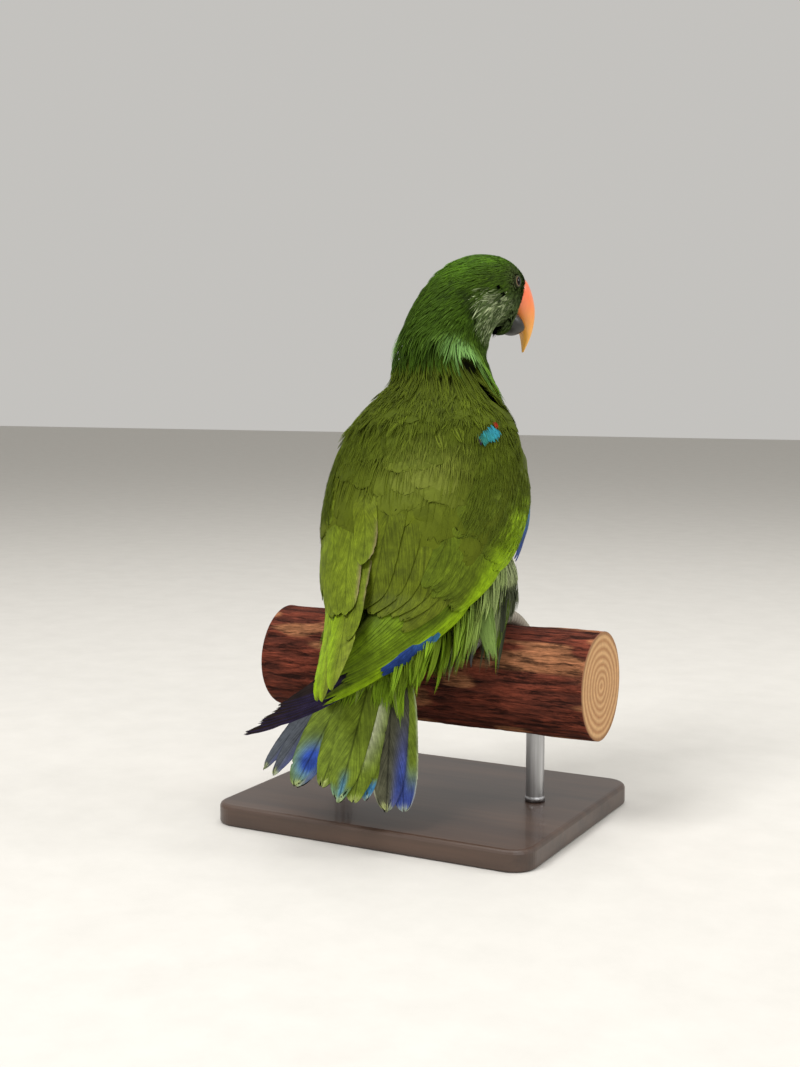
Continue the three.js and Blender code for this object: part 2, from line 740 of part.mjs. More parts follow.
let head = bodyLength(neckEnd, 1, 11, 26, 0, gap, 0);
head = fuse([head, ...eyes.map(lidSolid)]);
head = head.subtract(billShape(upperBill, 9, 14, gap));
head = head.subtract(billShape(lowerBill, 6, 12, gap));
for (const eye of eyes) {
  const from = inHead(mouthLine.from[0], eye.side * mouthLine.from[1], mouthLine.from[2]);
  const to = inHead(mouthLine.to[0], eye.side * mouthLine.to[1], mouthLine.to[2]);
  head = head.subtract(tube([from, from.clone().lerp(to, 0.5), to], mouthLine.radii, 6));
  head = head.subtract(ball(eye.centre, eyeRadius + gap, 12, 8));
}
let upper = billShape(upperBill, 9, 14);
for (const eye of eyes) {
  const opening = inHead(nostril.forward, eye.side * nostril.side, nostril.height);
  upper = upper.subtract(ball(opening, nostril.radius, 6, 4));
}
add("torso", torso, materials.plumage);
add("neck", neck, materials.plumage);
add("head", head, materials.head);
add("bill_upper", upper, materials.upperBill);
add("bill_lower", billShape(lowerBill, 6, 12).subtract(billShape(upperBill, 9, 14, gap)), materials.lowerBill);
for (const eye of eyes) add(`eye_${eye.name}`, ball(eye.centre, eyeRadius, 12, 8), materials.eye);

const tailBody = tailSolid();
const tailRoom = tailSolid(gap);
const rightWing = wingSolid("right").subtract(torsoRoom).subtract(tailRoom);
const leftWing = wingSolid("left").subtract(torsoRoom).subtract(tailRoom);
add("wing_right", rightWing, materials.wing);
add("wing_left", leftWing, materials.wing);
add("tail", tailBody.subtract(torsoRoom), materials.flight);

for (const [name, foot] of Object.entries(feet)) {
  const thighRoom = thighSolid(foot, gap);
  const leg = fuse([thighSolid(foot), ...thighLockSolids(foot)]);
  add(`leg_${name}`, leg.subtract(torsoRoom), materials.thigh);
  add(`foot_${name}`, footSolid(foot).subtract(thighRoom).subtract(torsoRoom), materials.foot);
  for (const toe of toes) add(`claw_${name}_${toe.name}`, clawSolid(foot, toe), materials.claw);
}

add("perch", logSolid(), materials.bark);

function roundedBase() {
  const [halfWidth, halfDepth] = [baseWidth / 2, baseDepth / 2];
  const outline = new THREE.Shape();
  outline.moveTo(-halfWidth + baseCorner, -halfDepth);
  outline.lineTo(halfWidth - baseCorner, -halfDepth);
  outline.absarc(halfWidth - baseCorner, -halfDepth + baseCorner, baseCorner, -Math.PI / 2, 0);
  outline.lineTo(halfWidth, halfDepth - baseCorner);
  outline.absarc(halfWidth - baseCorner, halfDepth - baseCorner, baseCorner, 0, Math.PI / 2);
  outline.lineTo(-halfWidth + baseCorner, halfDepth);
  outline.absarc(-halfWidth + baseCorner, halfDepth - baseCorner, baseCorner, Math.PI / 2, Math.PI);
  outline.lineTo(-halfWidth, -halfDepth + baseCorner);
  outline.absarc(-halfWidth + baseCorner, -halfDepth + baseCorner, baseCorner, Math.PI, 1.5 * Math.PI);
  return solid(new THREE.ExtrudeGeometry(outline, { depth: baseThickness, bevelEnabled: false, curveSegments: 6 }));
}

add("stand_base", roundedBase(), materials.stand);
for (const [name, x] of [["right", -rodSpacing / 2], ["left", rodSpacing / 2]]) {
  const rod = new THREE.CylinderGeometry(rodRadius, rodRadius, logAxisZ - logRadius, 24);
  rod.rotateX(Math.PI / 2);
  rod.translate(x, logAxisY, (logAxisZ - logRadius) / 2 + baseThickness + gap);
  add(`stand_rod_${name}`, solid(rod).subtract(logSolid(gap)), materials.stand);
}

export default model;
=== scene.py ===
import itertools
import math
from functools import partial

import bpy
import numpy as np
from mathutils import Matrix, Vector
from mathutils.kdtree import KDTree


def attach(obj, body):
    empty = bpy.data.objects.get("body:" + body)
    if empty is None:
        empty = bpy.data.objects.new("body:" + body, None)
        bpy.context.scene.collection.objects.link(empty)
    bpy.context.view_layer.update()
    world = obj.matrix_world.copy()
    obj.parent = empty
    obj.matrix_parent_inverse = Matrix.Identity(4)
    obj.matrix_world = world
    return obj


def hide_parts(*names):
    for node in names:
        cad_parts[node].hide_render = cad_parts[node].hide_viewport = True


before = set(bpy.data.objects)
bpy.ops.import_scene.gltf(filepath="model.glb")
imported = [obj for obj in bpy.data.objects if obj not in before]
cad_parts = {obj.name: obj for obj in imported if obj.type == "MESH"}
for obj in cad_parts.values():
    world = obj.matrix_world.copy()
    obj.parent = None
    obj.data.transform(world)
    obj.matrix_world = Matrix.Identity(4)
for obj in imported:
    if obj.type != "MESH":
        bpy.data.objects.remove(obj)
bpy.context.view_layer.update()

# Looks of the eclectus parrot model. Lengths are millimetres until a mesh is made.
# A place on the bird is (side to its right, forward, height over the log's axis).
MM = 0.001
LOG_Y = -12.0
LOG_Z = 84.0
LOG_RADIUS = 32.0
LOG_LENGTH = 210.0
HEAD_TURN = math.radians(20)
HEAD_CENTRE = (9.0, 40.6, 230.0)

# Stations of the body from the tail root to the face: side, forward, height, half width,
# depth towards the back and depth towards the front.
BODY = np.array([
    (0, -80, 14, 7, 4, 5),
    (0, -69, 26, 22, 10, 12),
    (0, -50, 44, 39, 22, 21),
    (0, -26, 72, 50, 38, 38),
    (0, -9, 104, 52, 41, 47),
    (0, 1, 136, 45, 37, 45),
    (-1, 7, 166, 33, 29, 35),
    (-2, 10, 190, 27, 26, 27),
    (2, 18, 210, 25, 25, 22),
    (7, 33, 226, 23.5, 22, 23),
    (12, 48, 233, 20.5, 17, 27),
    (16.5, 61, 233, 15.5, 11, 25),
    (19.5, 69, 232, 9, 6, 16),
], float)

EYE_RADIUS = 5.0
EYE_PLACE = (12.5, 15.0, 3.2)
EYE_FACING = (0.34, 0.06)
LID_RADIUS = 3.6
LID_OUT = 3.75
LID_TUBE = 0.55


# Small helpers on arrays.

def mix(a, b, t):
    """Value from a to b, as t goes from 0 to 1."""
    return a + (b - a) * t


def ease(start, end, x):
    """Smooth step from 0 to 1 as x goes from start to end, which may be the smaller."""
    t = np.clip((np.asarray(x, float) - start) / (end - start), 0, 1)
    return t * t * (3 - 2 * t)


def unit(v):
    """The vectors made one long."""
    return v / np.maximum(np.linalg.norm(v, axis=-1, keepdims=True), 1e-9)


def dot(a, b):
    """Products of the vectors, one for each row."""
    return np.sum(a * b, axis=-1, keepdims=True)


def linear(red, green, blue):
    """Linear colour of a screen colour given from 0 to 255."""
    c = np.array([red, green, blue], float) / 255
    return np.where(c <= 0.04045, c / 12.92, ((c + 0.055) / 1.055) ** 2.4)


def blend(a, b, t):
    """Colours a and b mixed by t, one value for each row."""
    return a + (b - a) * np.asarray(t)[..., None]


HASH_STEPS = (374761393, 668265263, 2147483647, 974634777)
HASH_MIX = 1274126177
HASH_BITS = 0xFFFFFFFF


def lattice(ix, iy, iz, seed):
    """Fixed random value from 0 to 1 for each cell of a grid."""
    h = sum(cell * step for cell, step in zip((ix, iy, iz, seed), HASH_STEPS)) & HASH_BITS
    h = ((h ^ (h >> 13)) * HASH_MIX) & HASH_BITS
    return ((h ^ (h >> 16)) & 0xFFFF) / 0xFFFF


def noise(points, size, seed=0):
    """Smooth noise from -1 to 1 with features of the given size."""
    p = np.asarray(points, float) / size
    cell = np.floor(p).astype(np.int64)
    f = p - cell
    f = f * f * (3 - 2 * f)
    total = 0.0
    for corner in itertools.product((0, 1), repeat=3):
        wx, wy, wz = (f[..., k] if step else 1 - f[..., k] for k, step in enumerate(corner))
        cells = (cell[..., k] + step for k, step in enumerate(corner))
        total = total + wx * wy * wz * lattice(*cells, seed)
    return total * 2 - 1


def turns(count):
    """Angles of even steps once round."""
    return np.arange(count) / count * 2 * math.pi


def soft_patch(*offsets):
    """1 in the middle of a soft patch, from pairs of an offset and a half width."""
    return np.exp(-sum((offset / width) ** 2 for offset, width in offsets))


def only(keep, *arrays):
    """The kept rows of each array."""
    return [rows[keep] for rows in arrays]


# The bird's shape.

def place(side, forward, height):
    """Point of the scene for a place on the bird."""
    side, forward, height = np.broadcast_arrays(side, forward, height)
    return np.stack([-side, LOG_Y - forward, LOG_Z + height], axis=-1).astype(float)


def way(side, forward, height):
    """Direction in the scene for a direction on the bird."""
    return place(side, forward, height) - place(0, 0, 0)


def in_head(forward, side, height):
    """Point for a place in the head's own frame, which is turned to the bird's right."""
    cos, sin = math.cos(HEAD_TURN), math.sin(HEAD_TURN)
    return place(
        HEAD_CENTRE[0] + forward * sin + side * cos,
        HEAD_CENTRE[1] + forward * cos - side * sin,
        HEAD_CENTRE[2] + height,
    )


def head_way(forward, side, height):
    """Direction in the scene for a direction in the head's own frame."""
    return in_head(forward, side, height) - in_head(0, 0, 0)


def spline(rows, t):
    """Catmull-Rom spline through the rows, t from 0 to 1 over all of them."""
    rows = np.asarray(rows, float)
    last = len(rows) - 1
    x = np.clip(t, 0, 1) * last
    i = np.minimum(np.floor(x).astype(int), last - 1)
    f = (x - i)[..., None]
    a, b, c, d = rows[np.maximum(i - 1, 0)], rows[i], rows[i + 1], rows[np.minimum(i + 2, last)]
    curve = 2 * b + (c - a) * f
    square = (2 * a - 5 * b + 4 * c - d) * f**2
    cube = (3 * b - a - 3 * c + d) * f**3
    return (curve + square + cube) / 2


def body_section(s):
    """Centre, axes and half sizes of the body's section at s, from 0 at the tail to 1 at the face."""
    s = np.asarray(s, float)
    row = spline(BODY, s)
    before = spline(BODY, np.maximum(s - 0.002, 0))
    after = spline(BODY, np.minimum(s + 0.002, 1))
    centre = place(row[..., 0], row[..., 1], row[..., 2])
    ahead = place(after[..., 0], after[..., 1], after[..., 2])
    behind = place(before[..., 0], before[..., 1], before[..., 2])
    along = unit(ahead - behind)
    turn = HEAD_TURN * ease(0.5, 0.75, s)
    level = np.stack([-np.cos(turn), np.sin(turn), np.zeros_like(turn)], axis=-1)
    dorsal = unit(np.cross(level, along))
    right = np.cross(along, dorsal)
    return centre, along, right, dorsal, row[..., 3:4], row[..., 4:5], row[..., 5:6]


def body_point(s, angle, lift=0.0):
    """Point on the body: angle 0 is the back, 90 degrees the bird's right."""
    s, angle, lift = np.broadcast_arrays(s, angle, lift)
    centre, _, right, dorsal, half, back, front = body_section(s)
    sin, cos, lift = np.sin(angle)[..., None], np.cos(angle)[..., None], lift[..., None]
    depth = np.where(cos > 0, back, front)
    return centre + right * (half + lift) * sin + dorsal * (depth + lift) * cos


def framed(shape, p, q):
    """Point, outward normal, and the change along p and q of a surface."""
    step_p, step_q = 0.002, 0.01
    point = shape(p, q)
    by_p = (shape(p + step_p, q) - shape(p - step_p, q)) / (2 * step_p)
    by_q = (shape(p, q + step_q) - shape(p, q - step_q)) / (2 * step_q)
    return point, unit(np.cross(by_p, by_q)), by_p, by_q


# Meshes from arrays.

def add_tint(mesh, colour):
    """Stores a colour for each point, which the materials read."""
    rows = np.asarray(colour).reshape(-1, 3)
    rows = np.concatenate([rows, np.ones((len(rows), 1))], axis=1)
    layer = mesh.attributes.new("tint", "FLOAT_COLOR", "POINT")
    layer.data.foreach_set("color", rows.astype(np.float32).ravel())


def make_object(name, points, quads, tris, material, tint=None, vane=None, uv=None, smooth=True,
                normals=None):
    """Object from points in millimetres and faces of four and of three corners."""
    mesh = bpy.data.meshes.new(name)
    points = np.asarray(points, float).reshape(-1, 3) * MM
    quads = np.asarray(quads, np.int32).reshape(-1, 4)
    tris = np.asarray(tris, np.int32).reshape(-1, 3)
    corners = np.concatenate([quads.ravel(), tris.ravel()])
    starts = np.concatenate([np.arange(len(quads)) * 4, len(quads) * 4 + np.arange(len(tris)) * 3])
    mesh.vertices.add(len(points))
    mesh.vertices.foreach_set("co", points.astype(np.float32).ravel())
    mesh.loops.add(len(corners))
    mesh.loops.foreach_set("vertex_index", corners)
    mesh.polygons.add(len(starts))
    mesh.polygons.foreach_set("loop_start", starts.astype(np.int32))
    mesh.polygons.foreach_set("use_smooth", np.full(len(starts), smooth))
    if tint is not None:
        add_tint(mesh, tint)
    if vane is not None:
        layer = mesh.attributes.new("vane", "FLOAT_VECTOR", "POINT")
        layer.data.foreach_set("vector", np.asarray(vane, np.float32).ravel())
    if uv is not None:
        layer = mesh.uv_layers.new(name="OFBake")
        layer.data.foreach_set("uv", np.asarray(uv, np.float32).reshape(-1, 2)[corners].ravel())
    mesh.update(calc_edges=True)
    if normals is not None:
        mesh.normals_split_custom_set_from_vertices(unit(normals))
    mesh.materials.append(material)
    obj = bpy.data.objects.new(name, mesh)
    bpy.context.scene.collection.objects.link(obj)
    return obj


class Parts:
    """Closed pieces gathered into the arrays of one mesh."""

    def __init__(self):
        self.points, self.quads, self.tris, self.tints = [], [], [], []
        self.vanes, self.uvs, self.normals = [], [], []
        self.count = 0

    def add(self, points, quads, tris, tint, vane=None, uv=None, normals=None):
        """Adds a piece whose faces count its own points from 0."""
        points = points.reshape(-1, 3)
        self.points.append(points)
        self.quads.append(np.asarray(quads, np.int64).reshape(-1, 4) + self.count)
        self.tris.append(np.asarray(tris, np.int64).reshape(-1, 3) + self.count)
        self.tints.append(np.broadcast_to(np.asarray(tint).reshape(-1, 3), points.shape))
        for kept, rows, width in ((self.vanes, vane, 3), (self.uvs, uv, 2), (self.normals, normals, 3)):
            if rows is not None:
                kept.append(rows.reshape(-1, width))
        self.count += len(points)

    def shape(self):
        """Points and faces of all the pieces."""
        return [np.concatenate(rows) for rows in (self.points, self.quads, self.tris)]

    def build(self, name, material):
        """One feathered object from all the pieces."""
        tint, vane, uv, normals = (
            np.concatenate(rows) for rows in (self.tints, self.vanes, self.uvs, self.normals))
        return make_object(name, *self.shape(), material, tint, vane, uv, normals=normals)


def loft_faces(rows, around):
    """Faces between the rings of a body, each ring joined to the next."""
    quads = []
    for k in range(rows - 1):
        for r in range(around):
            n = (r + 1) % around
            quads.append((k * around + r, k * around + n, (k + 1) * around + n, (k + 1) * around + r))
    return quads


def copies(pattern, count, size):
    """The face pattern of one piece, for each of count pieces of size points."""
    pattern = np.asarray(pattern, np.int64)
    return (pattern[None] + (np.arange(count) * size)[:, None, None]).reshape(-1, pattern.shape[1])


PATCH = 0.003


def patches(home, across, along):
    """Bake places: each piece gets a small patch at its home on the unwrapped skin."""
    local = np.stack(np.broadcast_arrays(across, along), axis=-1) * (PATCH / 2)
    return home.reshape(home.shape[0], *([1] * (local.ndim - 2)), 2) + local


STRAND_ROUND = 0.35


def spikes(parts, path, side, up, width, thick, tint, home, rng):
    """Thin tapered strands along paths of K points. width and thick hold a value for each point."""
    count, rings = path.shape[:2]
    left = path - side * width[..., None] / 2
    right = path + side * width[..., None] / 2
    ridge = path + up * thick[..., None]
    ring = np.stack([left, ridge, right], axis=2)[:, :-1]
    points = np.concatenate([ring.reshape(count, -1, 3), path[:, -1:]], axis=1)
    body = rings - 1
    last = (body - 1) * 3
    tris = [(0, 2, 1)] + [(last + r, last + (r + 1) % 3, body * 3) for r in range(3)]
    size = body * 3 + 1
    v = np.concatenate([np.repeat(np.linspace(0, 1, rings)[:-1], 3), [1.0]])
    u = np.concatenate([np.tile([-1.0, 0.0, 1.0], body), [0.0]])
    u, v = (np.broadcast_to(row, (count, size)) for row in (u, v))
    chance = np.broadcast_to(rng.random(count)[:, None], (count, size))
    if tint.ndim == 3:
        colour = np.concatenate([np.repeat(tint[:, :-1], 3, axis=1), tint[:, -1:]], axis=1)
    else:
        colour = np.broadcast_to(tint[:, None, :], (count, size, 3))
    round_off = side * STRAND_ROUND
    soft = np.stack([up - round_off, up, up + round_off], axis=2)[:, :-1]
    normals = np.concatenate([soft.reshape(count, -1, 3), up[:, -1:]], axis=1)
    quads, tris = copies(loft_faces(body, 3), count, size), copies(tris, count, size)
    vane, uv = np.stack([u, v, chance], axis=-1), patches(home, u, v * 2 - 1)
    parts.add(points, quads, tris, colour, vane, uv, normals)


def both_sides(grid):
    """The values of a vane's grid along its top and back along its underside."""
    return np.concatenate([grid, grid[:, :, ::-1]], axis=2)


def sheets(parts, top, bottom, tint, u, v, home, rng):
    """Closed thin vanes between a top and a bottom grid of (feather, row, column)."""
    count, rows, columns = top.shape[:3]
    ring = np.concatenate([top, bottom[:, :, ::-1]], axis=2)
    around = 2 * columns
    quads = loft_faces(rows, around)
    end = (rows - 1) * around
    for r in range(columns - 1):
        quads.append((r, around - 1 - r, around - 2 - r, r + 1))
        quads.append((end + r, end + r + 1, end + around - 2 - r, end + around - 1 - r))
    chance = np.broadcast_to(rng.random(count)[:, None, None], (count, rows, around))
    u, v = (both_sides(np.broadcast_to(grid, (count, rows, columns))) for grid in (u, v))
    vane, uv = np.stack([u, v, chance], axis=-1), patches(home, u, v * 2 - 1)
    face = unit(np.cross(np.gradient(top, axis=2), np.gradient(top, axis=1)))
    inside_out = dot(face, top - bottom).mean(axis=(1, 2, 3)) < 0
    face = np.where(inside_out[:, None, None, None], -face, face)
    normals = np.concatenate([face, -face[:, :, ::-1]], axis=2)
    quads = copies(quads, count, rows * around).reshape(count, -1, 4)
    quads = np.where(inside_out[:, None, None], quads[:, :, ::-1], quads)
    parts.add(ring, quads, np.zeros((0, 3)), both_sides(tint), vane, uv, normals)


def tube(path, radii, around):
    """Rings of points round a path; radii may have a value for each point of each ring."""
    path = np.asarray(path, float)
    along = unit(np.gradient(path, axis=0))
    sideways = unit(np.cross([1.0, 0, 0], along))
    upwards = np.cross(along, sideways)
    angles = turns(around)[None, :, None]
    radii = np.asarray(radii, float)
    radii = radii[:, None] if radii.ndim == 1 else radii
    ring = sideways[:, None] * np.cos(angles) + upwards[:, None] * np.sin(angles)
    return path[:, None] + ring * (radii * np.ones(around))[..., None]


def facing_out(points, quads, tris):
    """The faces of a closed body, turned if it is inside out."""
    quads = np.asarray(quads, np.int64).reshape(-1, 4)
    tris = np.asarray(tris, np.int64).reshape(-1, 3)
    halves = np.concatenate([quads[:, :3], quads[:, [0, 2, 3]], tris])
    a, b, c = (points[halves[:, k]] for k in range(3))
    volume = np.sum(a * np.cross(b, c))
    return (quads[:, ::-1], tris[:, ::-1]) if volume < 0 else (quads, tris)


def closed_loft(rings):
    """Points and faces of a closed body through rings of (row, around, 3)."""
    rows, around = rings.shape[:2]
    middles = rings[[0, -1]].mean(axis=1)
    points = np.concatenate([rings.reshape(-1, 3), middles])
    first, last = rows * around, rows * around + 1
    end = (rows - 1) * around
    tris = [(first, (r + 1) % around, r) for r in range(around)]
    tris += [(last, end + r, end + (r + 1) % around) for r in range(around)]
    return points, *facing_out(points, loft_faces(rows, around), tris)


# Markings, with the light and shade painted into them.

LIT_CROWN = linear(58, 88, 12)
HEAD_SIDE = linear(46, 66, 8)
CHEEK = linear(82, 98, 58)
NAPE = linear(46, 68, 8)
SHEEN = linear(136, 184, 104)
MANTLE = linear(68, 79, 13)
BACK = linear(80, 90, 18)
BACK_HIGHLIGHT = linear(104, 112, 42)
BREAST = linear(88, 118, 28)
FLANK = linear(104, 128, 24)
RUMP = linear(108, 132, 28)
THROAT_SIDE = linear(104, 142, 34)
NECK_LIGHT = linear(104, 138, 52)


def wrapped(angle):
    """Angle from -pi to pi."""
    return (np.asarray(angle) + math.pi) % (2 * math.pi) - math.pi


def off_back(angle):
    """Degrees from the middle of the back, to either side."""
    return np.degrees(np.abs(wrapped(angle)))


def collar(turn):
    """Place along the body where the neck's feathers end over the mantle; turn is in radians."""
    return mix(0.562, 0.49, ease(1.35, 1.85, turn))


def body_colour(s, angle, point):
    """Colour of skin and coat at a place on the body, with painted highlights and painted shadow."""
    turn = np.abs(wrapped(angle))
    edge = collar(turn)
    colour = blend(RUMP, BACK, ease(0.12, 0.26, s))
    colour = blend(colour, MANTLE, ease(0.33, 0.42, s))
    # Painted highlight: a paler patch on the middle of the back, where the light falls on it.
    wear_and_highlight = soft_patch((s - 0.385, 0.028), (wrapped(angle) - 0.38, 0.34))
    colour = blend(colour, BACK_HIGHLIGHT, wear_and_highlight * 0.8)
    colour = blend(colour, BREAST, ease(1.8, 2.3, turn) * ease(0.62, 0.48, s))
    colour = blend(colour, FLANK, ease(1.5, 2.0, turn) * ease(0.3, 0.16, s))
    colour = blend(colour, NAPE, ease(-0.008, 0.012, s - edge))
    # Painted sheen: a pale highlight on the side of the neck, just above the collar.
    sheen = soft_patch((s - edge - 0.038, 0.017), (turn - 1.12, 0.34))
    colour = blend(colour, SHEEN, sheen * 0.9)
    throat = soft_patch((s - edge - 0.04, 0.035), (turn - 1.6, 0.3))
    colour = blend(colour, THROAT_SIDE, throat * 0.7)
    colour = blend(colour, HEAD_SIDE, ease(0.66, 0.74, s))
    # Painted light: the top of the head is lighter, where the light from above falls on it.
    colour = blend(colour, LIT_CROWN, ease(0.68, 0.76, s) * ease(1.25, 0.5, turn))
    forward, side, height = head_frame(point)
    ragged = forward + 4 * noise(point, 5, 6)
    cheek = ease(-27, -18, ragged) * ease(-1, -9, height) * ease(3, 9, np.abs(side))
    cheek = cheek * ease(0.64, 0.68, s) * ease(-32, -27, height)
    colour = blend(colour, CHEEK, cheek * 0.85)
    # Painted shadow: a dark band just behind the ragged edge of the cheek's feathers.
    cheek_edge_shadow = soft_patch((forward + 26, 2.5)) * ease(2, -3, height)
    cheek_edge_shadow = cheek_edge_shadow * ease(-27, -21, height) * ease(0.6, 0.64, s)
    value = (1 + 0.13 * noise(point, 12, 3) + 0.1 * noise(point, 5, 4)) * (1 - 0.65 * cheek_edge_shadow)
    return colour * value[..., None]


STREAK_WIDTH = 1.3
STREAK_LENGTH = 11.0


def streaks(s, angle):
    """Streaks that run down the lie of the coat, from -1 to 1."""
    across, along = wrapped(angle) * 25 / STREAK_WIDTH, s * 400 / STREAK_LENGTH
    return noise(np.stack(np.broadcast_arrays(across, along, 0.0), axis=-1), 1.0, 9)


def skin_home(s, angle):
    """Place of a root on the unwrapped skin."""
    turn = ((angle + math.pi) % (2 * math.pi)) / (2 * math.pi)
    return np.stack([0.03 + 0.94 * turn, 0.03 + 0.94 * np.clip(s, 0, 1)], axis=-1)


# Materials.

class Shader:
    """A material's nodes, with the ways of joining them that the looks need."""

    def __init__(self, name):
        self.material = bpy.data.materials.new(name)
        self.material.use_nodes = True
        self.tree = self.material.node_tree
        self.surface = self.tree.nodes["Principled BSDF"]
        self.place = self.node("ShaderNodeTexCoord", output="Object")

    def node(self, kind, inputs=None, output=0, **settings):
        """Adds a node and gives one of its outputs. An input is a value or another node's output."""
        made = self.tree.nodes.new(kind)
        for key, value in settings.items():
            setattr(made, key, value)
        for key, value in (inputs or {}).items():
            if isinstance(value, bpy.types.NodeSocket):
                self.tree.links.new(value, made.inputs[key])
            else:
                made.inputs[key].default_value = value
        return made.outputs[output]

    def tint(self):
        """Colour kept for each point of a mesh."""
        return self.node("ShaderNodeAttribute", attribute_name="tint")

    def math(self, operation, *values):
        """Value worked out from values and other nodes' outputs."""
        return self.node("ShaderNodeMath", dict(enumerate(values)), operation=operation)

    def stretched(self, stretch):
        """The place on the object, stretched along its axes."""
        return self.node("ShaderNodeMapping", {"Vector": self.place, "Scale": stretch})

    def noise(self, vector, scale, detail=5.0, roughness=0.65, distortion=0.0):
        """Noise at a place, from 0 to 1."""
        settings = {"Vector": vector, "Scale": scale, "Detail": detail}
        settings.update({"Roughness": roughness, "Distortion": distortion})
        return self.node("ShaderNodeTexNoise", settings)

    def level(self, source, low, high, dark, light):
        """Value that goes from dark to light as the source goes from low to high."""
        ends = {"From Min": low, "From Max": high, "To Min": dark, "To Max": light}
        return self.node("ShaderNodeMapRange", {"Value": source, **ends})

    def shade(self, colour, value):
        """A colour made darker or lighter."""
        return self.node("ShaderNodeVectorMath", {0: colour, "Scale": value}, operation="SCALE")

    def finish(self, colour, height, strength, depth, levels):
        """Joins colour and relief to the surface and sets its levels."""
        bump = {"Strength": strength, "Distance": depth, "Height": height}
        self.tree.links.new(colour, self.surface.inputs["Base Color"])
        self.tree.links.new(self.node("ShaderNodeBump", bump), self.surface.inputs["Normal"])
        for key, value in levels.items():
            self.surface.inputs[key].default_value = value
        return self.material


def plumage_material(name, barbs, rough, contrast, shaft=None):
    """Feather colour from the tint attribute, with fine barbs, splits, blotches and a shaft."""
    shader = Shader(name)
    vane = shader.node("ShaderNodeAttribute", output="Vector", attribute_name="vane")
    across, along, feather = shader.node("ShaderNodeSeparateXYZ", {0: vane}).node.outputs
    from_shaft = shader.math("ABSOLUTE", across)
    slanted = shader.math("ADD", along, shader.math("MULTIPLY", from_shaft, -0.3))
    slow, apart = shader.math("MULTIPLY", across, 0.03), shader.math("MULTIPLY", feather, 7.0)
    line = shader.node("ShaderNodeCombineXYZ", {0: slanted, 1: slow, 2: apart})
    barb = shader.noise(line, barbs, detail=4.0, roughness=0.75)
    blotch = shader.noise(shader.place, 170.0, detail=4.0)
    levels = [
        shader.level(source, 0.3, 0.7, 1 - amount, 1 + amount)
        for source, amount in ((barb, contrast), (blotch, 0.6 * contrast))
    ]
    if shaft is not None:
        gaps = shader.noise(line, barbs * 0.16, detail=1.0, roughness=0.5)
        levels.append(shader.level(from_shaft, 0.02, 0.07, shaft, 1.0))
        levels.append(shader.level(gaps, 0.27, 0.33, 0.7, 1.0))
    colour = shader.tint()
    for level in levels:
        colour = shader.shade(colour, level)
    return shader.finish(colour, barb, 0.5, 0.0003, {"Roughness": rough, "Specular IOR Level": 0.06})


# Layers of the bark: shortening along the log, scale of the noise, its low and high ends,
# and the shade there.
BARK_LAYERS = (
    (0.10, 1100.0, 0.3, 0.7, 0.42, 1.5),
    (0.16, 420.0, 0.3, 0.68, 0.6, 1.4),
    (0.14, 300.0, 0.38, 0.47, 0.28, 1.0),
    (0.5, 150.0, 0.35, 0.7, 0.8, 1.3),
)


def bark_material(name):
    """Bark colour from the tint attribute, with fibres along the log, dark crevices and pale flakes."""
    shader = Shader(name)
    colour, levels = shader.tint(), []
    for along, scale, low, high, dark, light in BARK_LAYERS:
        grain = shader.noise(shader.stretched((along, 1, 1)), scale, 6.0, 0.7, 0.4)
        levels.append(shader.level(grain, low, high, dark, light))
        colour = shader.shade(colour, levels[-1])
    height = shader.math("ADD", levels[1], levels[2])
    return shader.finish(colour, height, 0.9, 0.0012, {"Roughness": 0.95, "Specular IOR Level": 0.15})


def speckled_material(name, low, high, scale, rough, stretch=(1, 1, 1), bump=0.3, coat=0.0, metal=0.0):
    """Two colours mixed by stretched noise, with a relief of the same noise."""
    shader = Shader(name)
    grain = shader.noise(shader.stretched(stretch), scale)
    ramp = shader.node("ShaderNodeValToRGB", {"Fac": grain})
    for end, position, colour in zip(ramp.node.color_ramp.elements, (0.3, 0.7), (low, high)):
        end.position = position
        end.color = (*colour, 1)
    levels = {"Roughness": rough, "Coat Weight": coat, "Metallic": metal}
    return shader.finish(ramp, grain, bump, 0.0004, levels)


def tinted_material(name, scale, rough, stretch=(1, 1, 1), amount=0.2, bump=0.3, coat=0.0, specular=0.5):
    """Colour from the tint attribute varied by noise, for skin, horn, scales, cut wood and eyes."""
    shader = Shader(name)
    grain = shader.noise(shader.stretched(stretch), scale)
    colour = shader.shade(shader.tint(), shader.level(grain, 0.25, 0.75, 1 - amount, 1 + amount))
    levels = {"Roughness": rough, "Coat Weight": coat, "Coat Roughness": 0.15}
    return shader.finish(colour, grain, bump, 0.0003, {**levels, "Specular IOR Level": specular})


# Skin.

# Depth of the skin under the coat's surface, share of a thigh's width, cell of the closed
# mesh, painted shade of the skin and painted shadow in its hollows, and the sockets of the eyes.
SKIN_DEPTH_HEAD = 1.6
SKIN_DEPTH_BODY = 3.0
SKIN_THIGH_SHARE = 0.86
SKIN_CELL = 1.6
SKIN_SHADE = 0.6
HOLLOW_SHADE = 0.06
SOCKET_MARGIN = 1.4
SOCKET_DEPTH = 3.2

# Feet: side, forward, and 1 where the bird's right is outwards.
FEET = {
    "right": (40.0, -2.0, 1),
    "left": (-24.0, 2.0, -1),
}


def thigh_rows(foot):
    """Stations of a thigh from the foot to the body: side, forward, height and radius."""
    side, forward, outwards = FEET[foot]
    return np.array([
        (side, forward - 2, 44, 9),
        (side - outwards * 2, forward - 4, 50, 14),
        (side - outwards * 5, forward - 4, 60, 19),
        (side - outwards * 10, forward - 4, 74, 21),
    ], float)


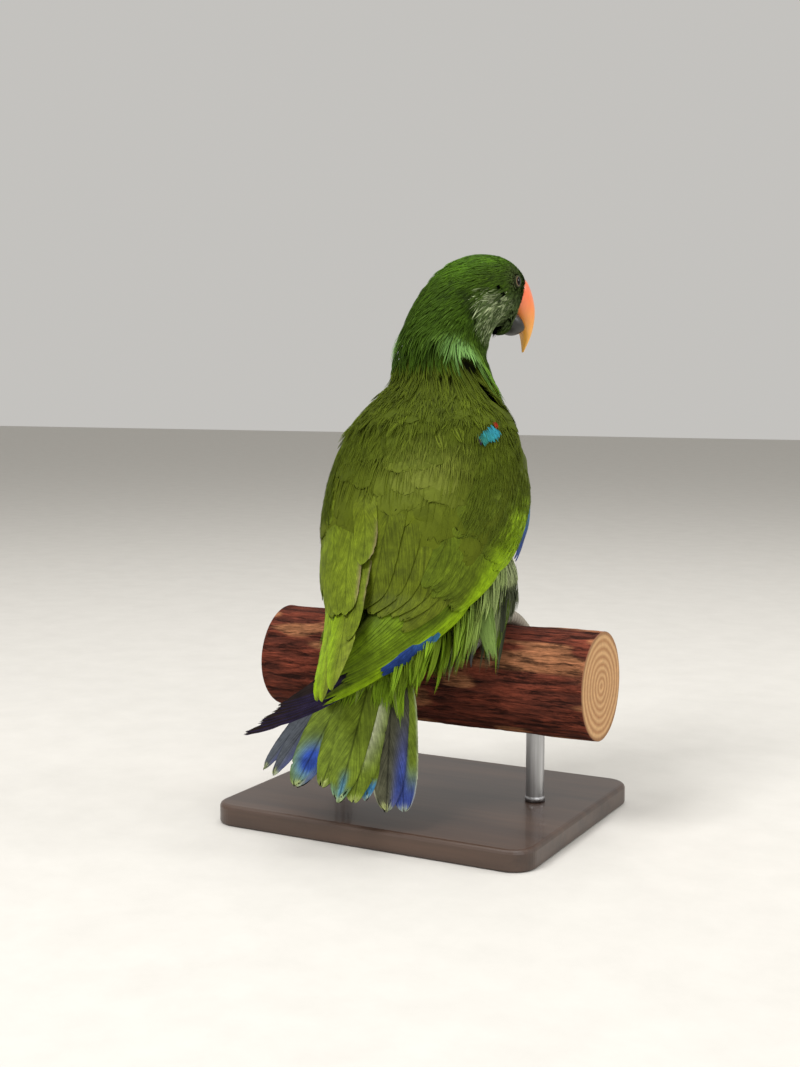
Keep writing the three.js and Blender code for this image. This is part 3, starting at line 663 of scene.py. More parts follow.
def thigh_point(foot, p, q):
    """Point of a thigh: p goes from the foot to the body and q is the angle round it."""
    p, q = np.broadcast_arrays(p, q)
    row = spline(thigh_rows(foot), p)
    return place(row[..., 0], row[..., 1], row[..., 2]) + way(np.cos(q), np.sin(q), 0.0) * row[..., 3:4]


def thigh_surface(foot, p, q):
    """Point, outward normal, and the change along p and q of a thigh."""
    p = np.clip(p, 0.003, 0.997)
    point, normal, by_p, by_q = framed(partial(thigh_point, foot), p, q)
    row = spline(thigh_rows(foot), p)
    middle = place(row[..., 0], row[..., 1], row[..., 2])
    normal = np.where(dot(normal, point - middle) < 0, -normal, normal)
    return point, normal, by_p, by_q


def skin_pieces():
    """Closed bodies of the flesh, inside the solids by the coat's depth."""
    s = np.linspace(0, 1, 120)
    depth = mix(SKIN_DEPTH_BODY, SKIN_DEPTH_HEAD, ease(0.55, 0.75, s)) * ease(-0.01, 0.03, s)
    pieces = [closed_loft(body_point(s[:, None], turns(72)[None], -depth[:, None]))]
    for foot in FEET:
        rings = thigh_point(foot, np.linspace(0, 1, 24)[:, None], turns(32)[None])
        middle = rings.mean(axis=1, keepdims=True)
        pieces.append(closed_loft(middle + (rings - middle) * SKIN_THIGH_SHARE))
    return pieces


def one_surface(pieces, material):
    """One closed mesh round overlapping closed bodies."""
    parts = Parts()
    for points, quads, tris in pieces:
        parts.add(points, quads, tris, np.zeros(3))
    draft = make_object("skin_draft", *parts.shape(), material)
    remesh = draft.modifiers.new("one_surface", "REMESH")
    remesh.mode = "VOXEL"
    remesh.voxel_size = SKIN_CELL * MM
    smooth = draft.modifiers.new("soft", "SMOOTH")
    smooth.iterations = 4
    graph = bpy.context.evaluated_depsgraph_get()
    mesh = bpy.data.meshes.new_from_object(draft.evaluated_get(graph))
    bpy.data.objects.remove(draft)
    return mesh


def nearest_on_body(points):
    """Place along the body and angle of the body's surface nearest to each point."""
    grids = np.meshgrid(np.linspace(0, 1, 160), turns(90), indexing="ij")
    s, angle = (grid.ravel() for grid in grids)
    samples = body_point(s, angle, -2)
    tree = KDTree(len(samples))
    for i, sample in enumerate(samples):
        tree.insert(sample, i)
    tree.balance()
    nearest = np.array([tree.find(p)[1] for p in points])
    return s[nearest], angle[nearest]


def build_skin(material):
    """One skin for head, neck, torso and thighs, with sockets for the eyes."""
    mesh = one_surface(skin_pieces(), material)
    co = np.zeros(len(mesh.vertices) * 3, np.float32)
    mesh.vertices.foreach_get("co", co)
    points = co.reshape(-1, 3).astype(float) / MM
    for eye in EYES.values():
        off = points - eye["centre"]
        near = np.linalg.norm(off, axis=1) < EYE_RADIUS + SOCKET_MARGIN
        inside = near & (dot(off, eye["out"])[:, 0] > -2)
        points[inside] -= eye["out"] * SOCKET_DEPTH
    mesh.vertices.foreach_set("co", (points * MM).astype(np.float32).ravel())
    # The skin is painted darker than the coat as shade under it, and nearly black as painted shadow in the
    # hollows and the ear's groove.
    colour = body_colour(*nearest_on_body(points), points) * SKIN_SHADE
    add_tint(mesh, colour * mix(HOLLOW_SHADE, 1.0, ease(0.5, 3.5, hollow_gap(points)))[:, None])
    mesh.polygons.foreach_set("use_smooth", np.ones(len(mesh.polygons), bool))
    mesh.materials.clear()
    mesh.materials.append(material)
    mesh.name = "skin"
    skin = bpy.data.objects.new("skin", mesh)
    bpy.context.scene.collection.objects.link(skin)
    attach(skin, "root")
    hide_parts("head", "neck", "torso", "leg_right", "leg_left")


def eye_frame(sign):
    """Centre of an eye and the direction it looks in."""
    forward, side, height = EYE_PLACE
    out = unit(head_way(EYE_FACING[0], sign, EYE_FACING[1]))
    return {"centre": in_head(forward, sign * side, height), "out": out}


EYES = {"right": eye_frame(1), "left": eye_frame(-1)}


# Coat.

# Rise of the coat's bed over the wings, height of a feather's root over the bed, and a gap
# wider than any on the bird.
COVER = 11.0
FEATHER_ROOT = -2.4
FAR = 99.0


def wing_lead(s):
    """Angle of the folded wing's leading edge from the back, in degrees."""
    return mix(118, 82, np.clip((0.45 - s) / 0.3, 0, 1))


def cover(s, angle):
    """Height of the coat's bed over the body. It rises over the folded wings and between them."""
    turn, lead = off_back(angle), wing_lead(s)
    return COVER * ease(0.53, 0.42, s) * ease(0.12, 0.22, s) * ease(lead - 4, lead - 36, turn)


def coat_point(s, angle, lift=0.0):
    """Point of the bed that the coat lies on."""
    return body_point(s, angle, lift + cover(s, angle))


def coat_surface(s, angle):
    """Point, outward normal, and the changes along the body and round it of the coat's bed."""
    s = np.clip(s, 0.003, 0.997)
    point, normal, by_s, by_a = framed(coat_point, s, angle)
    outwards = point - body_section(s)[0]
    normal = np.where(dot(normal, outwards) < 0, -normal, normal)
    return point, normal, by_s, by_a


def spread_roots(down, beside, start, end, rng, angle_from=-math.pi, angle_to=math.pi):
    """Roots spread over the body: down is their spacing along the lie, beside the one across it."""
    line = np.linspace(start, end, 400)
    middle = body_point(line, np.full_like(line, 1.2))
    lengths = np.concatenate([[0], np.cumsum(np.linalg.norm(np.diff(middle, axis=0), axis=1))])
    all_s, all_a = [], []
    for i, row in enumerate(np.arange(down * 0.5, lengths[-1], down)):
        s = np.interp(row, lengths, line)
        _, _, _, _, half, back, front = body_section(np.array([s]))
        around = math.pi * (half[0, 0] + (back[0, 0] + front[0, 0]) / 2)
        count = max(int(around * (angle_to - angle_from) / (2 * math.pi) / beside), 1)
        steps = (np.arange(count) + 0.5 * (i % 2)) / count
        all_s.append(np.full(count, s))
        all_a.append(angle_from + (angle_to - angle_from) * steps)
    s, a = np.concatenate(all_s), np.concatenate(all_a)
    _, _, by_s, by_a = coat_surface(s, a)
    s = s + rng.uniform(-0.5, 0.5, len(s)) * down / np.maximum(np.linalg.norm(by_s, axis=1), 1)
    a = a + rng.uniform(-0.4, 0.4, len(a)) * beside / np.maximum(np.linalg.norm(by_a, axis=1), 1)
    return s, a


def per_millimetre(change):
    """Step of a surface's own value that covers a millimetre of it."""
    return 1 / np.maximum(np.linalg.norm(change, axis=1), 1)


def surface_paths(surface, p, q, heading, length, lift):
    """Paths that follow a surface down its lie, with a lift for each of their points."""
    _, _, by_p, by_q = surface(p, q)
    per_p, per_q = per_millimetre(by_p), per_millimetre(by_q)
    t = np.linspace(0, 1, lift.shape[1])
    pp = p[:, None] - (np.cos(heading) * length * per_p)[:, None] * t
    qq = q[:, None] + (np.sin(heading) * length * per_q)[:, None] * t
    point, normal, _, _ = surface(pp.ravel(), qq.ravel())
    point, normal = point.reshape(*pp.shape, 3), normal.reshape(*pp.shape, 3)
    path = point + normal * lift[..., None]
    along = unit(np.gradient(path, axis=1))
    side = unit(np.cross(along, normal))
    return path, side, normal


def eye_distance(point):
    """Distance of each point from the nearer eye's axis, large where it isn't beside an eye."""
    nearest = np.full(len(point), FAR)
    for eye in EYES.values():
        off = point - eye["centre"]
        depth = dot(off, eye["out"])
        around = np.linalg.norm(off - depth * eye["out"], axis=1)
        nearest = np.where(depth[:, 0] > 0, np.minimum(nearest, around), nearest)
    return nearest


STRAND_WIDTH = np.array([0.6, 1.0, 0.8, 0.0])
# Shade along a strand from root to tip: painted shade at the root, where the strands lie under others.
STRAND_SHADE = np.array([0.7, 0.86, 1.0, 1.1])

# Gaps between the neck's feathers and the bird's right shoulder, painted dark as shadow: place
# along the body, angle in degrees and radius.
HOLLOWS = [
    (0.553, 54, 2.2),
    (0.547, 62, 2.9),
    (0.541, 70, 2.8),
    (0.498, 71, 2.4),
    (0.486, 73, 3.2),
    (0.474, 76, 3.8),
    (0.462, 80, 4.0),
    (0.451, 84, 4.0),
    (0.439, 88, 3.6),
    (0.516, 24, 1.5),
    (0.513, 34, 1.7),
]

# Ends of the ear's groove, where the skin is painted dark as shade: forward and height in the head's own
# frame.
EAR_GROOVE = ((-8.5, -0.5), (-2.5, -6.5))
GROOVE_RADIUS = 0.5
BETWEEN = np.linspace(0, 1, 5)[:, None]


def head_frame(point):
    """Forward, side and height of points in the head's own frame."""
    off = point - in_head(0, 0, 0)
    axes = [head_way(*axis) for axis in ((1, 0, 0), (0, 1, 0), (0, 0, 1))]
    return [off @ axis for axis in axes]


def hollow_gap(points):
    """Distance from the nearest hollow's rim or the ear groove's, less than 0 inside it."""
    gap = np.full(points.shape[:-1], FAR)
    for s, degrees, radius in HOLLOWS:
        middle = coat_surface(np.array([s]), np.radians([degrees]))[0][0]
        gap = np.minimum(gap, np.linalg.norm(points - middle, axis=-1) - radius)
    forward, side, height = head_frame(points)
    start, end = (np.array(place_in, float) for place_in in EAR_GROOVE)
    reach = end - start
    off = np.stack([forward, height], axis=-1) - start
    t = np.clip(off @ reach / (reach @ reach), 0, 1)
    from_groove = np.linalg.norm(off - t[..., None] * reach, axis=-1) - GROOVE_RADIUS
    return np.where(np.abs(side) > 10, np.minimum(gap, from_groove), gap)


def add_strands(parts, s, a, length, width, lift_root, lift_tip, tint, rng, heading):
    """Strands on the coat's bed. They end at the rim of a hollow, and none of them is stretched."""
    t = np.linspace(0, 1, len(STRAND_WIDTH))
    lift = lift_root[:, None] + (lift_tip - lift_root)[:, None] * np.sin(t * math.pi / 2)
    path, _, _ = surface_paths(coat_surface, s, a, heading, length, lift)
    between = path[:, :-1, None] * (1 - BETWEEN) + path[:, 1:, None] * BETWEEN
    inside = hollow_gap(between.reshape(len(path), -1, 3)) < 0
    share = np.where(inside.any(axis=1), inside.argmax(axis=1) / inside.shape[1], 1.0)
    length = length * share
    path, side, normal = surface_paths(coat_surface, s, a, heading, length, lift)
    reach = np.linalg.norm(np.diff(path, axis=1), axis=2).sum(axis=1)
    whole = (reach < 1.5 * length + 3) & (share > 0.3)
    path, side, normal, width, tint, s, a = only(whole, path, side, normal, width, tint, s, a)
    widths = width[:, None] * STRAND_WIDTH
    # Each strand is painted darker at its root, as shade under the strands over it.
    tint = (tint if tint.ndim == 3 else tint[:, None]) * STRAND_SHADE[:, None]
    spikes(parts, path, side, normal, widths, widths * 0.14 + 0.03, tint, skin_home(s, a), rng)


def heading_towards(s, a, target):
    """Heading on the coat's bed that leads in a direction."""
    _, _, by_s, by_a = coat_surface(s, a)
    down, beside = -unit(by_s), unit(by_a)
    skew = dot(down, beside)[:, 0]
    along, across = dot(target, down)[:, 0], dot(target, beside)[:, 0]
    return np.arctan2(across - skew * along, along - skew * across)


def strand_tint(s, a, point, rng, streak=0.12, single=0.06):
    """Coat colour with streaks that run down the lie and a small change from strand to strand."""
    value = 1 + streak * streaks(s, a) + rng.normal(0, single, len(s))
    return body_colour(s, a, point) * np.clip(value, 0.35, 1.8)[:, None]


PALE_TIP = linear(182, 194, 148)
BARE_FACE = linear(84, 98, 56)
NAPE_SWEEP = -0.55
EYE_BARE = 4.0
FACE_END = 31
STRAY_SHARE = 0.16
SHADED_SHARE = 0.14


def nape_turn(s, a):
    """Turn of the lie where the coat of the nape sweeps back and to the bird's left."""
    angle = wrapped(a)
    turn = NAPE_SWEEP * ease(0.56, 0.64, s) * ease(1.7, 0.9, angle)
    return turn * ease(-2.8, -1.6, angle) * ease(0.86, 0.74, s)


def head_coat(material, name, start, end, down, beside, seed):
    """Fine strands of the head, shortest round the eye, with pale ragged tufts on the cheek."""
    rng = np.random.default_rng(seed)
    s, a = spread_roots(down, beside, start, end, rng)
    point, _, _, _ = coat_surface(s, a)
    forward, _, height = head_frame(point)
    beside_eye = eye_distance(point)
    keep = (beside_eye > EYE_BARE) & (forward < FACE_END)
    s, a, point, forward, height, beside_eye = only(keep, s, a, point, forward, height, beside_eye)
    count = len(s)
    face = np.maximum(ease(6, 26, forward), ease(12, 5, beside_eye))
    cheek = ease(26, 12, forward) * ease(-28, -18, forward) * ease(6, -4, height)
    tuft = cheek * ease(8, -12, forward)
    paler = cheek * ease(0, -8, height)
    stray = rng.random(count) < STRAY_SHARE
    length = mix(9.0, 3.2, face) * (1 + 0.3 * tuft) * rng.uniform(0.8, 1.25, count)
    length = length * (1 + 0.3 * stray)
    width = mix(0.75, 0.5, face) * rng.uniform(0.75, 1.3, count)
    heading = 0.14 * noise(point, 6, 8) + rng.normal(0, 0.06, count)
    heading = heading + 0.3 * tuft * noise(point, 2.2, 10)
    heading = heading + mix(nape_turn(s, a), heading_towards(s, a, cheek_lie(height)), cheek)
    tint = strand_tint(s, a, point, rng, 0.22, 0.15) * (1 + 0.3 * stray)[:, None]
    tint = tint * np.where(rng.random(count) < SHADED_SHARE, 0.55, 1.0)[:, None]
    tint = blend(tint, BARE_FACE, ease(11, 5, beside_eye) * 0.6)
    pale = (rng.random(count) < 0.3 * paler) * rng.uniform(0.4, 1.0, count) * ease(14, 2, forward)
    along = np.linspace(0, 1, len(STRAND_WIDTH))
    tint = blend(np.repeat(tint[:, None], len(along), axis=1), PALE_TIP, pale[:, None] * along)
    # Painted shade at the strands' roots, deeper in the cheek's tufts.
    tint[:, 0] *= mix(0.85, 0.6, tuft)[:, None]
    lift = rng.uniform(0.05, 0.45, count) + tuft * rng.uniform(0.0, 1.2, count) + 0.25 * stray
    parts = Parts()
    add_strands(parts, s, a, length, width, np.full(count, -1.3), lift, tint, rng, heading)
    if name == "coat_face":
        jaw_tufts(parts, rng)
        cheek_tufts(parts, rng)
    return parts.build(name, material)


def cheek_lie(height):
    """Direction of the cheek's feathers, which point back by the ear and drop more by the jaw."""
    drop = mix(0.1, 0.75, ease(2, -24, height))[:, None]
    return head_way(-1, 0, 0) + head_way(0, 0, -1) * drop


def cheek_tufts(parts, rng):
    """Pointed tufts in rows on the cheek, the last of which end raggedly over the neck."""
    s, a = spread_roots(3.2, 3.0, 0.62, 0.93, rng)
    point, normal, _, _ = coat_surface(s, a)
    forward, side, height = head_frame(point)
    lie = unit(cheek_lie(height) + 0.12 * rng.normal(size=point.shape))
    lie = unit(lie - dot(lie, normal) * normal) + normal * 0.05
    length = rng.uniform(9, 14, len(s)) * mix(0.5, 1.0, ease(12, -4, forward))
    middle = point + lie * (length * np.linspace(0, 1, 6)[:, None])[..., None]
    keep = (forward > -19) & (forward < 15) & (height < -2) & (height > -26) & (np.abs(side) > 8)
    keep &= hollow_gap(middle).min(axis=0) > 0
    s, a, point, normal, forward, height, lie, length = only(
        keep, s, a, point, normal, forward, height, lie, length)
    share = np.where(rng.random(len(s)) < 0.5, rng.uniform(0.3, 0.8, len(s)), 0.0)
    share = share * ease(14, 0, forward) * mix(0.3, 1.0, ease(-3, -11, height))
    tint = blend(body_colour(s, a, point), PALE_TIP, share) * rng.uniform(0.7, 1.1, len(s))[:, None]
    plumes(parts, point - normal * 0.6, lie, normal, length, rng.uniform(1.0, 1.8, len(s)),
           tint, skin_home(s, a), rng, strands=10, width=0.5, bulge=0.5, stand=0.6, vary=0.28)


JAW_TUFTS = 64
CHIN_TUFTS = 110
CHIN_REACH = 0.1


def jaw_tufts(parts, rng):
    """Short loose tufts that hang from the jaw over the root of the lower bill."""
    count = JAW_TUFTS
    sign = np.where(np.arange(count) % 2 == 0, 1.0, -1.0)
    s, degrees = rng.uniform(0.86, 0.955, count), rng.uniform(112, 180, count)
    a = np.radians(degrees) * sign
    point, normal, _, _ = coat_surface(s, a)
    down = head_way(-0.55, 0, -1.0)
    tint = body_colour(s, a, point) * rng.uniform(0.8, 1.15, count)[:, None]
    plumes(parts, point - normal * 1.2, np.broadcast_to(down, point.shape), normal,
           rng.uniform(7, 10, count), np.full(count, 2.4), tint, skin_home(s, a), rng,
           strands=12, width=0.5, bulge=0.6, stand=0.4)
    count = CHIN_TUFTS
    turn = rng.uniform(-1.45, 1.45, count)
    root = bill_surface(LOWER_BILL, CHIN_REACH * np.cos(turn), math.pi + turn)
    out = unit(root - bill_surface(LOWER_BILL, CHIN_REACH * np.cos(turn), turn))
    back = np.broadcast_to(head_way(-1.0, 0, -0.12), root.shape)
    tint = np.broadcast_to(HEAD_SIDE * 0.8, root.shape) * rng.uniform(0.7, 1.2, count)[:, None]
    home = skin_home(np.full(count, 0.96), math.pi + turn)
    plumes(parts, root, back, out, rng.uniform(7, 9, count), np.full(count, 1.8), tint, home, rng,
           strands=12, width=0.55, bulge=0.6, stand=0.3)


# Tufts that stand out at the nape: place along the body, angle in degrees and length.
NAPE_TUFTS = [
    (0.765, -14, 12),
    (0.75, -22, 13),
    (0.735, -30, 12),
    (0.71, -42, 12),
    (0.575, -60, 12),
    (0.56, -72, 13),
    (0.55, -50, 11),
]


def neck_coat(material):
    """Fine strands of the neck, that end in ragged tips over the mantle."""
    rng = np.random.default_rng(6)
    s, a = spread_roots(2.8, 0.46, 0.5, 0.67, rng)
    turn = np.abs(wrapped(a))
    keep = s > collar(turn) + 0.026
    s, a, turn = only(keep, s, a, turn)
    point, _, _, _ = coat_surface(s, a)
    count = len(s)
    low = ease(0.075, 0.03, s - collar(turn))
    length = mix(11, 13, low) * rng.uniform(0.7, 1.3, count)
    width = mix(0.75, 1.0, low) * rng.uniform(0.75, 1.25, count)
    heading = mix(0.14, 0.3, low) * noise(point, 7, 8) + 0.2 * noise(point, 2.4, 11)
    heading = heading + rng.normal(0, 0.04, count) + nape_turn(s, a)
    tint = strand_tint(s, a, point, rng, 0.2, 0.14)
    bright = (rng.random(count) < 0.1) * rng.uniform(0.1, 0.45, count)
    tint = blend(tint, NECK_LIGHT, bright)
    lift = rng.uniform(0.1, 0.7, count) + low * rng.uniform(0.3, 2.6, count)
    parts = Parts()
    add_strands(parts, s, a, length, width, np.full(count, -1.6), lift, tint, rng, heading)
    s, degrees, length = (np.array(column, float) for column in zip(*NAPE_TUFTS))
    a = np.radians(degrees)
    point, normal, by_s, _ = coat_surface(s, a)
    plumes(parts, point - normal * 1.5, normal * 0.12 - unit(by_s), normal, length, np.full(len(s), 3.6),
           body_colour(s, a, point) * 1.35, skin_home(s, a), rng,
           strands=34, width=0.6, bulge=0.7, stand=0.0)
    return parts.build("coat_neck", material)


def mantle_coat(material):
    """Hair-like feathers from the collar down between the shoulders and on the breast."""
    rng = np.random.default_rng(16)
    s, a = spread_roots(4.2, 0.56, 0.36, 0.6, rng)
    turn = np.abs(wrapped(a))
    degrees = np.degrees(turn)
    keep = (s > 0.45) | (degrees < wing_lead(s) - 30) | (degrees > wing_lead(s) + 4)
    keep &= (s < collar(turn) + 0.03) & (rng.random(len(s)) < ease(0.34, 0.42, s))
    s, a, turn = only(keep, s, a, turn)
    point, _, _, _ = coat_surface(s, a)
    count = len(s)
    length = rng.uniform(13, 22, count)
    width = rng.uniform(0.5, 1.0, count)
    heading = 0.25 * noise(point, 14, 18) + 0.2 * noise(point, 4.5, 17) + rng.normal(0, 0.06, count)
    tint = strand_tint(s, a, point, rng, 0.16, 0.12)
    # Painted shadow: mantle strands that root under the neck's collar are darker.
    out_of_collar_shadow = ease(0.035, -0.005, s - 0.018 - collar(turn))
    tint = tint * mix(0.7, 1.0, out_of_collar_shadow)[:, None]
    parts = Parts()
    lift = rng.uniform(0.1, 1.2, count)
    add_strands(parts, s, a, length, width, np.full(count, FEATHER_ROOT), lift, tint, rng, heading)
    s, a = spread_roots(8.0, 8.0, 0.4, 0.53, rng, -1.7, 1.7)
    point, normal, by_s, by_a = coat_surface(s, a)
    clear = hollow_gap(point) > 5
    s, a, point, normal, by_s, by_a = only(clear, s, a, point, normal, by_s, by_a)
    count = len(s)
    lie = normal * 0.1 - unit(by_s) + unit(by_a) * rng.normal(0, 0.2, count)[:, None]
    tint = body_colour(s, a, point) * rng.uniform(0.9, 1.35, count)[:, None]
    length, spread = rng.uniform(12, 18, count), rng.uniform(2.5, 4.0, count)
    plumes(parts, point - normal * 1.2, lie, normal, length, spread, tint, skin_home(s, a), rng,
           strands=20, width=0.5, bulge=0.5, stand=0.5)
    return parts.build("coat_mantle", material)


def contour_feathers(parts, s, a, length, half, rise, rng, rows=11, columns=7):
    """Broad rounded feathers that lie on the coat's bed."""
    count = len(s)
    heading = rng.normal(0, 0.15, count)
    y = 1 - (1 - np.linspace(0, 1, rows)) ** 1.3
    u = np.linspace(-1, 1, columns)
    yy = y[:, None] + (1 - y[:, None]) * 0.3 * np.abs(u) ** 1.2
    outline = np.interp(yy, [0, 0.2, 0.5, 0.78, 0.92, 1.0], [0.5, 0.8, 1.0, 0.97, 0.72, 0.16])
    ragged = 1 - rng.uniform(0, 0.16, (count, rows, 1)) * np.abs(u) ** 3
    x = u * outline * ragged * half[:, None, None]
    root, _, by_s, by_a = coat_surface(s, a)
    per_s, per_a = per_millimetre(by_s), per_millimetre(by_a)
    frayed = 1 - 0.09 * rng.random((count, 1, columns)) * ease(0.75, 1.0, yy)
    down = yy * length[:, None, None] * frayed
    cos, sin = np.cos(heading)[:, None, None], np.sin(heading)[:, None, None]
    ss = s[:, None, None] - (down * cos - x * sin) * per_s[:, None, None]
    aa = a[:, None, None] + (down * sin + x * cos) * per_a[:, None, None]
    point, normal, _, _ = coat_surface(ss.ravel(), aa.ravel())
    point, normal = point.reshape(*ss.shape, 3), normal.reshape(*ss.shape, 3)
    raised = np.sin(np.clip(yy, 0, 1) * math.pi / 2)
    lift = mix(FEATHER_ROOT, rise[:, None, None], raised) - 0.35 * np.abs(u) ** 2
    thick = 0.14 * (1 - 0.7 * np.maximum(np.abs(u) ** 3, ease(0.85, 1.0, yy)))
    top = point + normal * (lift + thick)[..., None]
    bottom = point + normal * (lift - thick)[..., None]
    base = body_colour(s, a, root) * rng.uniform(0.9, 1.1, count)[:, None]
    edge = 0.96 + 0.05 * np.maximum(np.abs(u) ** 3, ease(0.7, 1.0, yy))
    tint = base[:, None, None] * np.broadcast_to(edge, (count, rows, columns))[..., None]
    sheets(parts, top, bottom, tint, u[None, None], yy[None], skin_home(s, a), rng)


def cloak_coat(material):
    """Broad soft feathers over the back and the upper side of both folded wings."""
    rng = np.random.default_rng(7)
    parts = Parts()
    s, a = spread_roots(9.5, 9.0, 0.27, 0.46, rng, -2.0, 2.0)
    keep = (off_back(a) < wing_lead(s) - 38) & (s > 0.285 - 0.02 * np.cos(a * 5))
    s, a = only(keep, s, a)
    low = ease(0.44, 0.32, s)
    length = mix(26, 36, low) * rng.uniform(0.8, 1.2, len(s))
    half = mix(9.5, 12.5, low) * rng.uniform(0.8, 1.2, len(s))
    contour_feathers(parts, s, a, length, half, rng.uniform(0.1, 0.6, len(s)), rng, rows=20, columns=17)
    s, a = spread_roots(4.4, 0.75, 0.27, 0.47, rng, -2.0, 2.0)
    keep = off_back(a) < wing_lead(s) - 34
    keep &= rng.random(len(s)) < mix(0.12, 1.0, ease(0.3, 0.42, s))
    s, a = only(keep, s, a)
    point, _, _, _ = coat_surface(s, a)
    count = len(s)
    tint = strand_tint(s, a, point, rng, 0.1, 0.07)
    heading = 0.25 * noise(point, 16, 19) + 0.08 * noise(point, 4.5, 17) + rng.normal(0, 0.05, count)
    lift = rng.uniform(0.4, 0.8, count)
    length = rng.uniform(13, 24, count)
    add_strands(parts, s, a, length, rng.uniform(0.4, 0.8, count), lift - 1.2, lift, tint, rng, heading)
    return parts.build("coat_cloak", material)


def under_coat(material, name, side_from, side_to, seed):
    """Feathers of the rump, the belly and the breast, where no wing lies on the body."""
    rng = np.random.default_rng(seed)
    parts = Parts()

    def bare(s, a):
        """Whether a place is on this coat and under no wing."""
        turn = off_back(a)
        covered = (s > 0.17) & (s < 0.46) & (turn < wing_lead(s) - 8)
        return ~covered & (turn >= side_from) & (turn < side_to)

    s, a = spread_roots(7.0, 7.0, 0.03, 0.5, rng)
    keep = bare(s, a)
    s, a = only(keep, s, a)
    length = 19 * rng.uniform(0.85, 1.15, len(s))
    half = 7.5 * rng.uniform(0.85, 1.1, len(s))
    contour_feathers(parts, s, a, length, half, rng.uniform(0.0, 0.8, len(s)), rng)
    s, a = spread_roots(3.6, 1.0, 0.03, 0.5, rng)
    keep = bare(s, a)
    s, a = only(keep, s, a)
    point, _, _, _ = coat_surface(s, a)
    count = len(s)
    tint = strand_tint(s, a, point, rng, 0.22, 0.14)
    heading = 0.3 * noise(point, 10, 20) + rng.normal(0, 0.12, count)
    lift = rng.uniform(0.6, 1.6, count)
    length, width = rng.uniform(8, 14, count), rng.uniform(0.6, 1.2, count)
    add_strands(parts, s, a, length, width, lift - 2, lift, tint, rng, heading)
    return parts.build(name, material)


# Wings.

# Share of a wing's length at which it leaves the body.
WING_LEAVES = 0.55

# Folded wings: side of the body, trailing edge in degrees, rise over the other wing, how the
# free part starts, the two ends of its last edge, and how it arrives there.
WINGS = {
    "right": dict(sign=1, trailing=12, over=0, start_pull=36, bulge=22,
                  end=((-62, -126, -24), (-52, -122, -5)), end_pull=(-110, -34, -18)),
    "left": dict(sign=-1, trailing=7, over=10, start_pull=36, bulge=0,
                 end=((-15, -116, -7), (7, -115, 2)), end_pull=(0, -16, -60)),
    "left_under": dict(sign=-1, trailing=7, over=0, start_pull=36, bulge=16,
                       end=((-25, -99, -12), (-12, -98, 2)), end_pull=(4, -20, -60)),
}


def wing_place(wing, along, across):
    """Place along the body and angle under a point of the folded wing."""
    s = mix(mix(0.43, 0.47, across), mix(0.17, 0.13, across), along)
    leading = mix(118, 82, along)
    trailing = mix(24, wing["trailing"], np.sqrt(np.maximum(along, 0)))
    return s, np.radians(mix(leading, trailing, across)) * wing["sign"]


def wing_on_body(wing, along, across, lift):
    """Point over the part of the body that the folded wing covers."""
    s, angle = wing_place(wing, along, across)
    return body_point(s, angle, lift)


def wing_point(wing, along, across, layer):
    """Point of a wing's sheet. Past WING_LEAVES it leaves the body and runs free to its end."""
    along, across, layer = np.broadcast_arrays(along, across, layer)
    lift = layer + wing["over"] * across * ease(0.36, 0.62, along)
    on_body = wing_on_body(wing, np.minimum(along, WING_LEAVES) / WING_LEAVES, across, lift)
    t = (np.maximum(along, WING_LEAVES) - WING_LEAVES)[..., None] / (1 - WING_LEAVES)
    start = wing_on_body(wing, np.ones_like(along), across, lift)
    pull = (start - wing_on_body(wing, np.full_like(along, 0.98), across, lift)) * wing["start_pull"]
    pull = pull + (wing_on_body(wing, np.ones_like(along), across, lift + 1) - start) * wing["bulge"]
    first, second = place(*wing["end"][0]), place(*wing["end"][1])
    away = unit(way(0, -1, 0.6))
    end = first + (second - first) * across[..., None] + away * lift[..., None]
    square, cube = t**2, t**3
    free = start * (2 * cube - 3 * square + 1) + pull * (cube - 2 * square + t)
    free = free + end * (3 * square - 2 * cube) + way(*wing["end_pull"]) * (cube - square)
    return np.where((along <= WING_LEAVES)[..., None], on_body, free)


